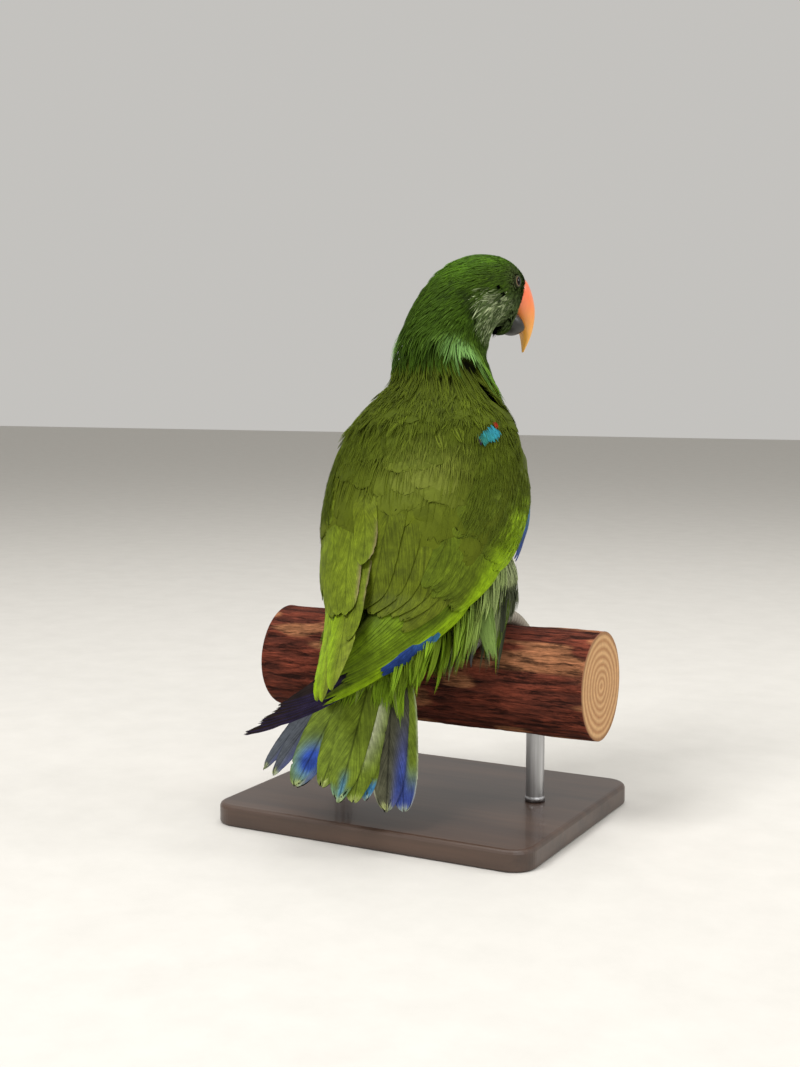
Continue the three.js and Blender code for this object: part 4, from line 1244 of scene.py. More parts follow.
def sheet_vanes(parts, sheet, root, tip, half, lift_root, lift_tip, sink, tint_of, rng, home,
                rows=24, columns=13, blunt=0.5, thickness=0.26, tilt=0.045,
                fray=0.05, notched=0.04, frayed_tip=0.03):
    """Vanes on a sheet of (along, across, lift), from root to tip given as (along, across) pairs."""
    count = len(root)
    y = 1 - (1 - np.linspace(0, 1, rows)) ** 1.25
    u = np.linspace(-1, 1, columns)
    yy = y[:, None] + (1 - y[:, None]) * 0.3 * np.abs(u) ** 1.3
    rounded = np.sqrt(np.maximum(1 - np.clip((yy - 0.66) / 0.34, 0, 1) ** 2.4, 0))
    pointed = mix(1, 0.16, ease(0.5, 1, yy))
    blunt = np.broadcast_to(blunt, (count,))[:, None, None]
    outline = mix(0.5, 1.0, ease(0, 0.45, yy)) * np.maximum(mix(pointed, rounded, blunt), 0.1)
    notch = rng.random((count, rows, 2))
    torn, wear_and_highlight = rng.uniform(0.05, 0.22, notch.shape), rng.uniform(0, fray, notch.shape)
    depth = np.where(notch < notched, torn, wear_and_highlight)
    side = (u > 0).astype(int)
    ragged = 1 - depth[:, :, side] * np.abs(u) ** 3
    x = u * outline * ragged * half[:, None, None]
    reach = yy * (1 - frayed_tip * rng.random((count, 1, columns)) * ease(0.8, 1.0, yy))
    along = mix(root[:, 0][:, None, None], tip[:, 0][:, None, None], reach)
    across = mix(root[:, 1][:, None, None], tip[:, 1][:, None, None], reach)
    sway = rng.normal(0, 0.006, count)[:, None, None]
    across = across + sway * np.sin(yy * math.pi)
    height = mix(lift_root[:, None, None], lift_tip[:, None, None], ease(0, 0.6, yy))
    height = height - sink * ease(0.3, 0, yy)
    beside = sheet(along, across + 0.02, height) - sheet(along, across - 0.02, height)
    width = np.linalg.norm(beside, axis=-1) / 0.04
    camber = -0.03 * x**2 / np.maximum(half[:, None, None], 1)
    apart = np.arange(count)[:, None, None] * 7.0
    place_in = np.stack(np.broadcast_arrays(yy * 7 + apart, u * 1.5, 0.0), -1)
    lift = height - tilt * x + camber + 0.2 * noise(place_in, 1, 5) * np.abs(u)
    taper = thickness * (1 - 0.75 * np.abs(u) ** 3)
    place_across = across + x / np.maximum(width, 4)
    top = sheet(along, place_across, lift + taper / 2)
    bottom = sheet(along, place_across, lift - taper / 2)
    shape = along.shape
    tint = tint_of(along, place_across, np.broadcast_to(yy, shape), np.broadcast_to(u, shape), top)
    sheets(parts, top, bottom, tint, u[None, None], yy[None], home, rng)


SECONDARY_GREEN = linear(72, 90, 14)
EDGE_LIME = linear(122, 152, 18)
TERTIAL_GREEN = linear(78, 88, 17)
COVERT_GREEN = linear(78, 92, 18)
SHOULDER_OLIVE = linear(70, 80, 18)
# Painted light: the left wing's green is lighter than the right wing's, where the light falls on it.
LIT_LEFT_GREEN = linear(98, 112, 24)
PRIMARY_BROWN = linear(36, 28, 27)
PRIMARY_BLUE = linear(40, 36, 84)
LEAF_BLUE = linear(38, 62, 122)
LEAF_TEAL = linear(54, 104, 138)
BROWN_VANE = linear(112, 92, 76)


def flight_row(kind, count, root_along, root_across, tip_along, tip_across, half, lift_root, lift_tip,
               sink, blunt):
    """A row of feathers, each value given for its first and its last feather."""
    pairs = (root_along, root_across, tip_along, tip_across, half, lift_root, lift_tip)
    values = [np.linspace(*pair, count) for pair in pairs]
    return dict(kind=kind, root=np.stack(values[:2], axis=1), tip=np.stack(values[2:4], axis=1),
                half=values[4], lift_root=values[5], lift_tip=values[6], sink=sink, blunt=blunt)


def covert_rows(inner):
    """Rows of the wing's coverts, out to the place across it where the coat of the back begins."""
    return [
        flight_row("greater", 15, (0.29, 0.25), (0.13, inner + 0.14), (0.58, 0.52), (0.13, inner + 0.12),
                   (6.5, 9), (3.4, 5.0), (7.6, 11.2), 1.5, 0.6),
        flight_row("median", 14, (0.2, 0.18), (0.08, inner + 0.06), (0.42, 0.39), (0.09, inner + 0.06),
                   (6, 8), (3.5, 5), (7.9, 11.4), 1.5, 0.7),
        flight_row("median", 14, (0.14, 0.12), (0.04, inner), (0.34, 0.32), (0.06, inner),
                   (5.5, 7), (3.5, 5), (8.0, 11.5), 1.5, 0.8),
        flight_row("lesser", 14, (0.1, 0.08), (0.0, inner), (0.26, 0.25), (0.02, inner),
                   (5, 6.5), (3, 4), (7.8, 11.0), 1.5, 0.85),
        flight_row("lesser", 14, (0.05, 0.04), (0.0, inner), (0.19, 0.18), (0.01, inner),
                   (5, 6.5), (2, 3), (7.4, 10.4), 1.5, 0.85),
        flight_row("lesser", 12, (0.0, -0.01), (0.02, inner), (0.12, 0.11), (0.03, inner),
                   (5, 6.5), (1, 2), (6.8, 9.6), 1.5, 0.85),
        flight_row("lesser", 10, (-0.05, -0.06), (0.06, inner), (0.06, 0.05), (0.07, inner),
                   (5, 6.5), (-1, 0), (5.0, 8.0), 1.0, 0.85),
    ]


def wing_rows(which):
    """The rows of a wing, from the longest feathers up to the coverts."""
    if which == "right":
        return [
            flight_row("primary", 9, (0.42, 0.42), (0.3, 0.9), (0.985, 0.92), (0.16, 0.85),
                       (6.5, 8.0), (1.2, 2.2), (0.6, 3.4), 0.5, 0.35),
            flight_row("leaf", 2, (0.6, 0.6), (0.17, 0.23), (0.752, 0.748), (-0.11, 0.02),
                       (6.4, 6.4), (2.6, 3.0), (5.8, 6.2), 0.0, 0.35),
            flight_row("alula", 2, (0.09, 0.09), (-0.1, -0.04), (0.37, 0.35), (-0.11, -0.03),
                       (5.0, 5.0), (6.4, 7.0), (8.0, 8.6), 0.5, 0.4),
            flight_row("secondary", 2, (0.34, 0.34), (0.1, 0.2), (0.835, 0.83), (0.0, 0.2),
                       (5.6, 6.0), (3.0, 3.2), (4.0, 4.6), 1.0, 0.5),
            flight_row("secondary", 13, (0.34, 0.32), (0.14, 0.8), (0.8, 0.8), (0.26, 1.15),
                       (5.6, 7.5), (3.4, 4.6), (6.0, 9.8), 1.0, 0.5),
            flight_row("tertial", 6, (0.26, 0.2), (0.5, 1.1), (0.66, 0.6), (0.5, 1.2),
                       (9.5, 11.5), (5, 8), (9.0, 12.4), 2.0, 0.85),
            *covert_rows(0.56),
        ]
    return [
        flight_row("primary", 8, (0.4, 0.4), (0.1, 0.36), (0.98, 0.84), (0.26, 0.84),
                   (7.0, 8.0), (1.2, 2.4), (0.6, 4.2), 0.5, 0.4),
        flight_row("secondary", 5, (0.34, 0.32), (0.08, 0.5), (0.95, 1.0), (0.12, 0.5),
                   (8, 9), (3.0, 4.0), (5.0, 7.2), 1.0, 0.8),
        flight_row("secondary", 3, (0.34, 0.32), (0.6, 0.8), (0.9, 0.98), (0.62, 0.86),
                   (9, 10), (4.0, 4.6), (7.6, 9.6), 1.0, 0.9),
        flight_row("tertial", 1, (0.3, 0.3), (0.98, 0.98), (0.775, 0.775), (1.0, 1.0),
                   (6.0, 6.0), (6.5, 6.5), (10.2, 10.2), 2.0, 0.98),
        flight_row("tertial", 3, (0.28, 0.24), (0.62, 0.86), (0.69, 0.67), (0.58, 0.86),
                   (9.0, 10.5), (7, 8), (10.8, 11.8), 2.0, 0.95),
        flight_row("tertial", 1, (0.2, 0.2), (0.96, 0.96), (0.5, 0.5), (1.0, 1.0),
                   (8.0, 8.0), (8, 8), (12.4, 12.4), 2.0, 0.95),
        *covert_rows(0.56),
    ]


def wing_tint(kind, which, count, rng):
    """Colours of a row, as a function of the place on the wing and on the vane."""
    each = rng.uniform(0.9, 1.1, count)[:, None, None]

    def tint(along, across, y, u, point):
        """Colour at a place on the wing, y along the vane and u across it."""
        inner = ease(-0.2, 0.9, u)
        band = mix(0.42, 0.2, ease(0.34, 0.6, along))
        sunny = ease(band, band * 0.3, across) * ease(0.12, 0.26, along)
        if kind == "primary":
            colour = blend(PRIMARY_BROWN, PRIMARY_BLUE, ease(-0.5, -1.0, u) * 0.4)
        elif kind == "leaf":
            colour = blend(LEAF_BLUE, LEAF_TEAL, ease(0.7, 0.64, along))
        elif kind == "alula":
            colour = blend(LEAF_TEAL, LEAF_BLUE, ease(0.2, 0.3, along))
        elif kind == "secondary":
            # The left wing's feathers take the lighter green: painted light.
            base, lime = (LIT_LEFT_GREEN, 0.6) if which == "left" else (SECONDARY_GREEN, 0.2)
            colour = blend(base, EDGE_LIME, ease(0.0, -0.95, u) * lime)
            colour = blend(colour, EDGE_LIME, sunny * 0.85)
            colour = blend(colour, BROWN_VANE, inner * 0.1)
        elif kind == "tertial":
            base = LIT_LEFT_GREEN * 0.85 if which == "left" else TERTIAL_GREEN
            base = blend(BACK, base, ease(0.34, 0.46, along))
            brown = ease(0.75, 0.95, u) * ease(0.36, 0.42, along) * ease(0.64, 0.58, along)
            colour = blend(base, BROWN_VANE, brown * (0.7 if which == "left" else 0.15))
        else:
            bases = {"greater": COVERT_GREEN, "median": mix(COVERT_GREEN, SHOULDER_OLIVE, 0.5)}
            base = bases.get(kind, SHOULDER_OLIVE)
            colour = blend(base, LIT_LEFT_GREEN, 0.5 if which == "left" else 0.0)
            colour = blend(colour, EDGE_LIME, sunny * mix(0.7, 0.95, ease(0.5, -0.9, u)))
        rim = 1 + 0.08 * np.abs(u) ** 3
        # Painted shade: each vane darkens towards its root, where the feathers above cover it.
        value = each * rim * (1 + 0.14 * noise(point, 9, 12)) * mix(0.8, 1.0, ease(0.0, 0.5, y))
        return colour * value[..., None]

    return tint


def wing_bed(parts, sheet, rng):
    """Closed sheet under the coverts, so that no gap between them shows the inside of the wing."""
    along = np.linspace(0, 0.44, 30)[:, None]
    across = np.linspace(0, 1, 24)[None]
    swell = ease(0, 0.14, along) * mix(1, 0.3, ease(0.2, 0.44, along))
    swell = swell * ease(0, 0.14, across) * ease(1, 0.9, across)
    outer = sheet(along, across, mix(2.2, 5.6, swell))[None]
    inner = sheet(along, across, np.full_like(swell, 0.9))[None]
    # The bed is painted darker than the coverts, as shade in the gaps between them.
    tint = np.broadcast_to(SHOULDER_OLIVE * 0.7, outer.shape)
    grid_v = np.broadcast_to(along[None], outer.shape[:-1])
    grid_u = np.broadcast_to(across[None] * 2 - 1, outer.shape[:-1])
    sheets(parts, outer, inner, tint, grid_u, grid_v, np.array([[0.02, 0.02]]), rng)


def build_wing(which, material):
    """A folded wing with all its rows of feathers."""
    rng = np.random.default_rng(21 if which == "right" else 22)
    parts = Parts()
    sheet = partial(wing_point, WINGS[which])
    below = partial(wing_point, WINGS["left_under"]) if which == "left" else sheet
    wing_bed(parts, sheet, rng)
    order = 0
    for row in wing_rows(which):
        count = len(row["half"])
        root = row["root"] + rng.uniform(-0.01, 0.01, (count, 2))
        tip = row["tip"] + rng.uniform(-0.012, 0.012, (count, 2))
        half = row["half"] * rng.uniform(0.9, 1.1, count)
        cell = order + np.arange(count)
        order += count
        home = np.stack([0.05 + 0.09 * (cell % 10), 0.06 + 0.05 * (cell // 10)], axis=1)
        surface = below if row["kind"] == "primary" else sheet
        sheet_vanes(parts, surface, root, tip, half, row["lift_root"], row["lift_tip"], row["sink"],
                    wing_tint(row["kind"], which, count, rng), rng, home, blunt=row["blunt"])
    obj = parts.build(f"wing_feathers_{which}", material)
    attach(obj, "root")
    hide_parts(f"wing_{which}")


# Small bright feathers at the bird's right shoulder: place along the body, angle in degrees,
# number of strands, spread in degrees and colour.
SHOULDER_PATCHES = [
    (0.408, 47, 8, 0.8, linear(38, 28, 44)),
    (0.424, 57, 50, 1.6, linear(44, 126, 142)),
    (0.417, 53.5, 50, 1.6, linear(46, 128, 134)),
    (0.41, 50, 36, 1.4, linear(42, 108, 98)),
    (0.434, 60, 5, 0.8, linear(140, 36, 26)),
]


def shoulder_strands(parts, wing, count, rng):
    """Short loose strands over a wing's coverts, none of them in a hollow."""
    along = rng.uniform(-0.04, 0.3, count)
    across = rng.uniform(-0.02, 0.66, count)
    t = np.linspace(0, 1, len(STRAND_WIDTH))
    reach = rng.uniform(0.05, 0.1, count)[:, None] * t
    drift = rng.normal(0, 0.02, count)[:, None] * t
    lift = mix(7.6, 11.6, np.clip(across / 0.56, 0, 1)) * ease(-0.1, 0.12, along)
    height = lift[:, None] + mix(-1.2, rng.uniform(0.5, 1.5, count)[:, None], t)
    path = wing_point(wing, along[:, None] + reach, across[:, None] + drift, height)
    above = wing_point(wing, along[:, None] + reach, across[:, None] + drift, height + 1)
    clear = hollow_gap(path).min(axis=1) > 0
    path, above, along, across = only(clear, path, above, along, across)
    count = len(path)
    up = unit(above - path)
    side = unit(np.cross(unit(np.gradient(path, axis=1)), up))
    value = 1 + 0.2 * noise(path[:, 0], 3, 28) + rng.normal(0, 0.1, count)
    tint = mix(SHOULDER_OLIVE, COVERT_GREEN, 0.4) * np.clip(value, 0.4, 1.6)[:, None]
    tint = blend(tint, EDGE_LIME, ease(0.36, 0.08, across) * ease(0.1, 0.26, along) * 0.8)
    widths = rng.uniform(0.5, 1.0, count)[:, None] * STRAND_WIDTH
    home = skin_home(*wing_place(wing, np.clip(along, 0, WING_LEAVES) / WING_LEAVES, across))
    spikes(parts, path, side, up, widths, widths * 0.14 + 0.03, tint, home, rng)


def shoulder_coat(material):
    """Small loose feathers on the shoulders, with the bright patch beside the dark hollows."""
    rng = np.random.default_rng(27)
    parts = Parts()
    for which in ("right", "left"):
        shoulder_strands(parts, WINGS[which], 2600, rng)
    for place_s, degrees, number, spread, colour in SHOULDER_PATCHES:
        s = place_s + rng.normal(0, 0.0015 * spread, number)
        a = np.radians(degrees + rng.normal(0, spread, number))
        tint = colour * rng.uniform(0.75, 1.15, number)[:, None]
        length, width = rng.uniform(3.5, 5.5, number), rng.uniform(0.7, 1.1, number)
        lift = rng.uniform(1.7, 2.1, number)
        heading = rng.normal(0.3, 0.1, number)
        add_strands(parts, s, a, length, width, lift - 0.5, lift, tint, rng, heading)
    return parts.build("coat_shoulders", material)


# Tail.

TAIL_ROOT = (-1, -60, 40)
TAIL_LEFT = (-51, -118, -43)
TAIL_MIDDLE = (-2, -110, -55)
TAIL_RIGHT = (30, -94, -56)
TAIL_ROOT_HALF = 7


def tail_point(along, across, lift):
    """Point of the fan: along from its root to its tips, across from its left to its right."""
    along, across, lift = (x[..., None] for x in np.broadcast_arrays(along, across, lift))
    root = place(*TAIL_ROOT)
    left, middle, right = place(*TAIL_LEFT), place(*TAIL_MIDDLE), place(*TAIL_RIGHT)
    target = np.where(across < 0, left, right)
    tip = middle + (target - middle) * np.abs(across)
    flat = unit(np.cross(left - root, right - root))
    point = root + (tip - root) * along + way(1, 0, 0) * across * TAIL_ROOT_HALF * (1 - along)
    return point + flat * (lift - 3 * across**2)


# Feathers of the tail from its left to its right: place across, length, half width, lift and kind.
TAIL_FEATHERS = [
    (-1.0, 0.97, 5.5, -0.8, "wisp"),
    (-0.86, 0.98, 6.0, 0.0, "wisp"),
    (-0.55, 1.0, 11.5, 1.8, "spotted"),
    (-0.27, 0.96, 9.5, 2.4, "green"),
    (-0.03, 1.01, 12.0, 4.2, "streaked"),
    (0.19, 1.0, 10.5, 3.2, "pale"),
    (0.36, 0.985, 6.5, 1.6, "turquoise"),
    (0.68, 1.04, 10.5, 1.4, "brown"),
    (0.93, 1.03, 9.5, 0.2, "edge"),
]
TAIL_GREEN = linear(92, 108, 30)
TAIL_BLUE = linear(36, 62, 136)
TAIL_VIOLET = linear(60, 66, 112)
TAIL_TURQUOISE = linear(92, 136, 132)
TAIL_SHEEN_WHITE = linear(214, 217, 186)
TAIL_TIP = linear(170, 178, 112)
TAIL_BROWN = linear(66, 66, 50)
TAIL_WISP = linear(66, 70, 76)


def tail_kind_colour(kind, y, u):
    """Colour of one kind of tail feather, by the places along and across its vane."""
    if kind == "wisp":
        return blend(TAIL_WISP, TAIL_VIOLET, ease(-0.2, 0.8, u) * 0.5)
    if kind == "spotted":
        halo = soft_patch((y - 0.87, 0.11), (u + 0.05, 0.85))
        spot = soft_patch((y - 0.83, 0.1), (u - 0.1, 0.7))
        colour = blend(TAIL_GREEN, TAIL_TURQUOISE, np.clip(halo * 0.8, 0, 1))
        colour = blend(colour, TAIL_VIOLET, ease(0.35, 0.8, u) * ease(0.62, 0.72, y) * 0.7)
        return blend(colour, TAIL_BLUE, np.clip(spot * 1.4, 0, 1))
    if kind == "streaked":
        streak = soft_patch((u, 0.25)) * ease(0.78, 0.9, y) * ease(1.0, 0.95, y)
        colour = blend(TAIL_GREEN, TAIL_TURQUOISE, ease(0.9, 0.98, y) * 0.5)
        return blend(colour, LEAF_TEAL, streak * 0.8)
    if kind == "pale":
        # The pale feather's whitish streak is a painted sheen.
        shine = soft_patch((u + 0.2, 0.75)) * ease(0.06, 0.18, y) * ease(0.85, 0.5, y)
        return blend(TAIL_GREEN, TAIL_SHEEN_WHITE, shine)
    if kind == "turquoise":
        return blend(TAIL_GREEN, LEAF_TEAL, ease(0.86, 0.94, y))
    if kind == "brown":
        violet = soft_patch((u - 0.8, 0.36)) * ease(0.4, 0.75, y)
        colour = blend(TAIL_BROWN, TAIL_VIOLET, violet)
        colour = blend(colour, TAIL_BLUE, violet * ease(0.6, 0.8, y) * ease(1.0, 0.85, y) * 0.5)
        # A painted highlight along the left edge.
        return blend(colour, TAIL_SHEEN_WHITE, ease(-0.86, -0.98, u) * ease(1.0, 0.8, y) * 0.6)
    if kind == "edge":
        colour = blend(TAIL_VIOLET, TAIL_BLUE, ease(0.5, 0.7, y) * 0.5)
        colour = blend(colour, TAIL_GREEN, ease(0.0, 0.5, u) * ease(0.95, 0.7, y))
        # A painted sheen along the right edge.
        return blend(colour, TAIL_SHEEN_WHITE, ease(0.85, 0.98, u) * 0.35)
    return np.broadcast_to(TAIL_GREEN, (*y.shape, 3))


def tail_tint(_along, _across, y, u, point):
    """Colours of the whole fan, with a dark shaft, painted shade at the edges where the feathers overlap,
    and pale ends.
    """
    colour = np.stack([tail_kind_colour(row[4], y[k], u[k]) for k, row in enumerate(TAIL_FEATHERS)])
    colour = blend(colour, TAIL_TIP, ease(0.965, 1.0, y + 0.012 * noise(point, 1.2, 33)) * 0.45)
    value = (1 + 0.14 * noise(point, 8, 31)) * (1 - 0.4 * soft_patch((u, 0.05)))
    # Painted shade: the vanes are darker at their edges, where the feathers overlap.
    value = value * (1 - 0.3 * ease(0.88, 1.0, np.abs(u)) * ease(1.0, 0.9, y))
    return colour * value[..., None]


def build_tail(material):
    """The fan of the tail."""
    rng = np.random.default_rng(41)
    table = [row[:4] for row in TAIL_FEATHERS]
    across, length, half, lift = (np.array(column, float) for column in zip(*table))
    root = np.stack([np.full(len(across), 0.1), across], axis=1)
    tip = np.stack([length, across], axis=1)
    home = np.stack([0.05 + 0.08 * np.arange(len(across)), np.full(len(across), 0.5)], axis=1)
    parts = Parts()
    sheet_vanes(parts, tail_point, root, tip, half, lift * 0.6, lift, 0.0, tail_tint, rng, home,
                rows=60, columns=33, blunt=0.9, thickness=0.5, tilt=0.0,
                fray=0.03, notched=0.02, frayed_tip=0.05)
    obj = parts.build("tail_feathers_fan", material)
    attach(obj, "root")
    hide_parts("tail")


# Plumes of the flanks, the thighs and the tail's root.

PLUME_GREEN = linear(112, 142, 30)
PLUME_GREY = linear(160, 172, 122)
PLUME_DARK = linear(42, 44, 38)
LOCK_GREEN = linear(108, 132, 66)


PLUME_WIDTH = np.array([0.6, 1.0, 0.9, 0.6, 0.0])
# Shade along a plume's strand from root to tip: painted shade at the root, inside the tuft.
PLUME_SHADE = np.array([0.62, 0.85, 1.0, 1.08, 1.12])


def plumes(parts, root, down, out, length, spread, tint, home, rng,
           strands=16, width=0.62, bulge=2.0, stand=2.0, vary=0.16):
    """Loose tufts of strands that start spread out and draw together at the tuft's tip."""
    count, rings = len(root), len(PLUME_WIDTH)
    down, out = unit(down), unit(out)
    side = unit(np.cross(down, out))
    out = unit(np.cross(side, down))
    u = rng.uniform(-1, 1, (count, strands))
    start = rng.uniform(-0.05, 0.45, (count, strands))
    end = start + rng.uniform(0.45, 0.75, (count, strands))
    end = np.minimum(end, rng.uniform(0.9, 1.04, (count, strands)))
    t = start[..., None] + (end - start)[..., None] * np.linspace(0, 1, rings)
    draw = np.interp(t, [0, 0.4, 0.75, 1.05], [0.9, 1.0, 0.6, 0.12])
    across = (u * spread[:, None])[..., None] * draw
    layer = rng.uniform(-0.9, 0.9, (count, strands))[..., None] * draw
    rise = bulge * np.sin(np.clip(t, 0, 1) * math.pi) + stand * t + layer
    sway = rng.normal(0, 0.05, count)[:, None, None] * length[:, None, None] * t**2
    first, along, beside, outward = (v[:, None, None] for v in (root, down, side, out))
    path = first + along * (t * length[:, None, None])[..., None]
    path = path + beside * (across + sway)[..., None] + outward * rise[..., None]
    path = path.reshape(-1, rings, 3)
    up = np.repeat(out, strands, axis=0)[:, None] * np.ones((1, rings, 1))
    flat = unit(np.cross(unit(np.gradient(path, axis=1)), up))
    widths = width * rng.uniform(0.65, 1.35, len(path))[:, None] * PLUME_WIDTH
    value = np.repeat(rng.uniform(0.85, 1.15, count), strands) + rng.normal(0, vary, len(path))
    colour = np.repeat(tint, strands, axis=0) * np.clip(value, 0.25, 1.8)[:, None]
    # Painted shade: each strand is darker at its root inside the tuft.
    colour = colour[:, None] * PLUME_SHADE[:, None]
    home = np.repeat(home, strands, axis=0) + rng.uniform(-PATCH, PATCH, (len(path), 2))
    spikes(parts, path, flat, up, widths, widths * 0.2 + 0.05, colour, home, rng)


# Tufts of the flanks: place along the body from and to, angle in degrees from and to, length
# and spacing.
FLANK_ROWS = (
    (0.03, 0.13, 70, 170, 27, 4.4),
    (0.13, 0.27, 92, 165, 31, 5.0),
)
TAIL_TUFTS = 110


def tail_root_tufts(parts, rng):
    """Tufts over the root of the tail, shorter where its feather with the painted sheen shows."""
    count = TAIL_TUFTS
    across, along = rng.uniform(-1.0, 1.0, count), rng.uniform(0.1, 0.3, count)
    root = tail_point(along, across, 3.5)
    down = tail_point(along + 0.1, across, 3.5) - root
    up = tail_point(along, across, 4.5) - root
    length = rng.uniform(18, 32, count) * (1 - 0.5 * soft_patch((across - 0.12, 0.2)))
    pale = (rng.random(count) < 0.3) * 0.35
    tint = blend(PLUME_GREEN, TAIL_TIP, pale)
    home = np.stack([0.5 + 0.4 * across, 0.5 + along], axis=1)
    plumes(parts, root, down, up, length, rng.uniform(2.2, 3.6, count), tint, home, rng,
           bulge=1.5, stand=1.0)


def flank_plumes(material):
    """Ragged tufts that hang from the flanks and the rump over the tail's root."""
    rng = np.random.default_rng(51)
    parts = Parts()
    for sign in (1, -1):
        for low, high, first, last, reach, spacing in FLANK_ROWS:
            angles = sorted((math.radians(first) * sign, math.radians(last) * sign))
            s, a = spread_roots(spacing, spacing, low, high, rng, *angles)
            root, normal, _, _ = coat_surface(s, a)
            along = body_section(s)[1]
            sag = rng.uniform(0.15, 0.55, len(s))[:, None]
            down = -along + way(0, 0, -1) * sag + normal * 0.12
            out = normal + way(0, -1, 0) * 0.5
            length = reach * rng.uniform(0.75, 1.25, len(s))
            tint = blend(PLUME_GREEN, PLUME_GREY, ease(0.16, 0.26, s) * 0.6)
            tint = blend(tint, MANTLE, (rng.random(len(s)) < 0.3) * 0.6)
            spread = rng.uniform(2.2, 3.8, len(s))
            plumes(parts, root - normal * 1.5, down, out, length, spread, tint, skin_home(s, a), rng)
    tail_root_tufts(parts, rng)
    return parts.build("coat_flanks", material)


SMOOTH_LOCK = dict(root=(41, -30, 58), tip=(57, -42, 19), out=(0.35, -1.0, 0.25), spread=5.0, count=16)

# Tufts behind a thigh: side of their roots from and to, height of their tips from and to,
# number, and share of dark ones.
CURTAIN = [
    (16, 34, 0, 16, 24, 0.45),
    (44, 58, 6, 26, 22, 0.7),
    (34, 41, 26, 36, 4, 0.6),
]
THIGH_STRANDS = 1500
THIGH_TUFTS = 130


def thigh_home(foot, p, q):
    """Place of a root on the unwrapped thighs."""
    turn = ((q + math.pi) % (2 * math.pi)) / (2 * math.pi)
    start = 0.03 if foot == "right" else 0.52
    return np.stack([start + 0.44 * turn, 0.03 + 0.94 * p], axis=-1)


def thigh_strands(parts, foot, rng):
    """Short strands that cover a thigh."""
    count = THIGH_STRANDS
    p, q = rng.uniform(0.05, 1.0, count), rng.uniform(-math.pi, math.pi, count)
    lift = np.linspace(-2.0, 0.5, len(STRAND_WIDTH))[None] * np.ones((count, 1))
    heading, length = rng.normal(0, 0.15, count), rng.uniform(10, 16, count)
    path, across, normal = surface_paths(partial(thigh_surface, foot), p, q, heading, length, lift)
    widths = rng.uniform(0.6, 1.1, count)[:, None] * STRAND_WIDTH
    tint = PLUME_GREY * rng.uniform(0.5, 1.1, count)[:, None]
    home = thigh_home(foot, p, q)
    spikes(parts, path, across, normal, widths, widths * 0.2 + 0.04, tint, home, rng)


def thigh_tufts(parts, foot, rng):
    """Loose tufts on a thigh, more of them dark on its outer side."""
    count = THIGH_TUFTS
    outwards = FEET[foot][2]
    p, q = rng.uniform(0.1, 1.0, count), rng.uniform(-math.pi, math.pi, count)
    root, normal, _, _ = thigh_surface(foot, p, q)
    down = way(0, 0, -1) + normal * rng.uniform(-0.1, 0.08, count)[:, None]
    length = rng.uniform(14, 24, count) * mix(0.7, 1.0, p)
    dark = rng.random(count) < 0.35 + 0.5 * ease(0.0, 0.8, np.cos(q) * outwards)
    tint = blend(PLUME_GREY, PLUME_DARK, dark * 0.85)
    plumes(parts, root - normal, down, normal, length, rng.uniform(2.0, 3.6, count), tint,
           thigh_home(foot, p, q), rng, bulge=1.0, stand=0.6, vary=0.3)


def thigh_curtain(parts, foot, rng):
    """Ragged tufts that hang behind a thigh down over the log."""
    side, _, outwards = FEET[foot]
    for first, last, low, high, count, dark_share in CURTAIN:
        inset = rng.uniform(first, last, count) - FEET["right"][0]
        forward, top = rng.uniform(-23, -17, count), rng.uniform(44, 60, count)
        start = place(side + outwards * inset * 0.85, forward, top)
        end_height = rng.uniform(low, high, count)
        end = place(side + outwards * inset, mix(-37, -33, rng.random(count)), end_height)
        reach = end - start
        tint = blend(PLUME_GREY, PLUME_DARK, (rng.random(count) < dark_share) * 0.9)
        tint = blend(tint, PLUME_GREEN, (rng.random(count) < 0.3) * 0.7)
        out = np.broadcast_to(way(0.1, -1.0, 0.3), start.shape)
        home = thigh_home(foot, rng.uniform(0.3, 0.9, count), -math.pi / 2 + inset * 0.05)
        length, spread = np.linalg.norm(reach, axis=1), rng.uniform(1.8, 3.2, count)
        plumes(parts, start, reach, out, length, spread, tint, home, rng,
               bulge=1.0, stand=0.5, vary=0.3)


def smooth_lock(parts, rng):
    """The one smooth lock that hangs outside the right thigh."""
    count = SMOOTH_LOCK["count"]
    shift = rng.uniform(-1, 1, count)[:, None] * way(1.0, 0.3, 0) * SMOOTH_LOCK["spread"]
    root, tip = place(*SMOOTH_LOCK["root"]) + shift, place(*SMOOTH_LOCK["tip"]) + shift * 0.25
    out = np.broadcast_to(way(*SMOOTH_LOCK["out"]), root.shape)
    length = np.linalg.norm(tip - root, axis=1) * rng.uniform(0.8, 1.1, count)
    tint = np.broadcast_to(LOCK_GREEN, root.shape)
    home = np.broadcast_to(thigh_home("right", np.array([0.6]), np.array([-1.6])), (count, 2))
    plumes(parts, root, tip - root, out, length, np.full(count, 2.6), tint, home, rng,
           strands=22, width=0.7, bulge=3.0, stand=1.0, vary=0.1)


def thigh_plumes(material):
    """Thigh feathers: short strands on the leg, with ragged grey-green and dark tufts over them."""
    rng = np.random.default_rng(52)
    parts = Parts()
    for foot in FEET:
        thigh_strands(parts, foot, rng)
        thigh_tufts(parts, foot, rng)
        thigh_curtain(parts, foot, rng)
    smooth_lock(parts, rng)
    return parts.build("coat_thighs", material)


# Eyes, lids and bill.

PUPIL = linear(6, 5, 5)
IRIS = linear(150, 118, 92)
EYE_RIM = linear(40, 32, 24)
LID_GREEN = linear(58, 66, 42)
LID_STEPS = 56
LID_AROUND = 12
LID_WRINKLES = 14


def across_eye(eye):
    """Two directions at right angles to the one an eye looks in."""
    first = unit(np.cross(eye["out"], [0, 0, 1.0]))
    return first, np.cross(eye["out"], first)


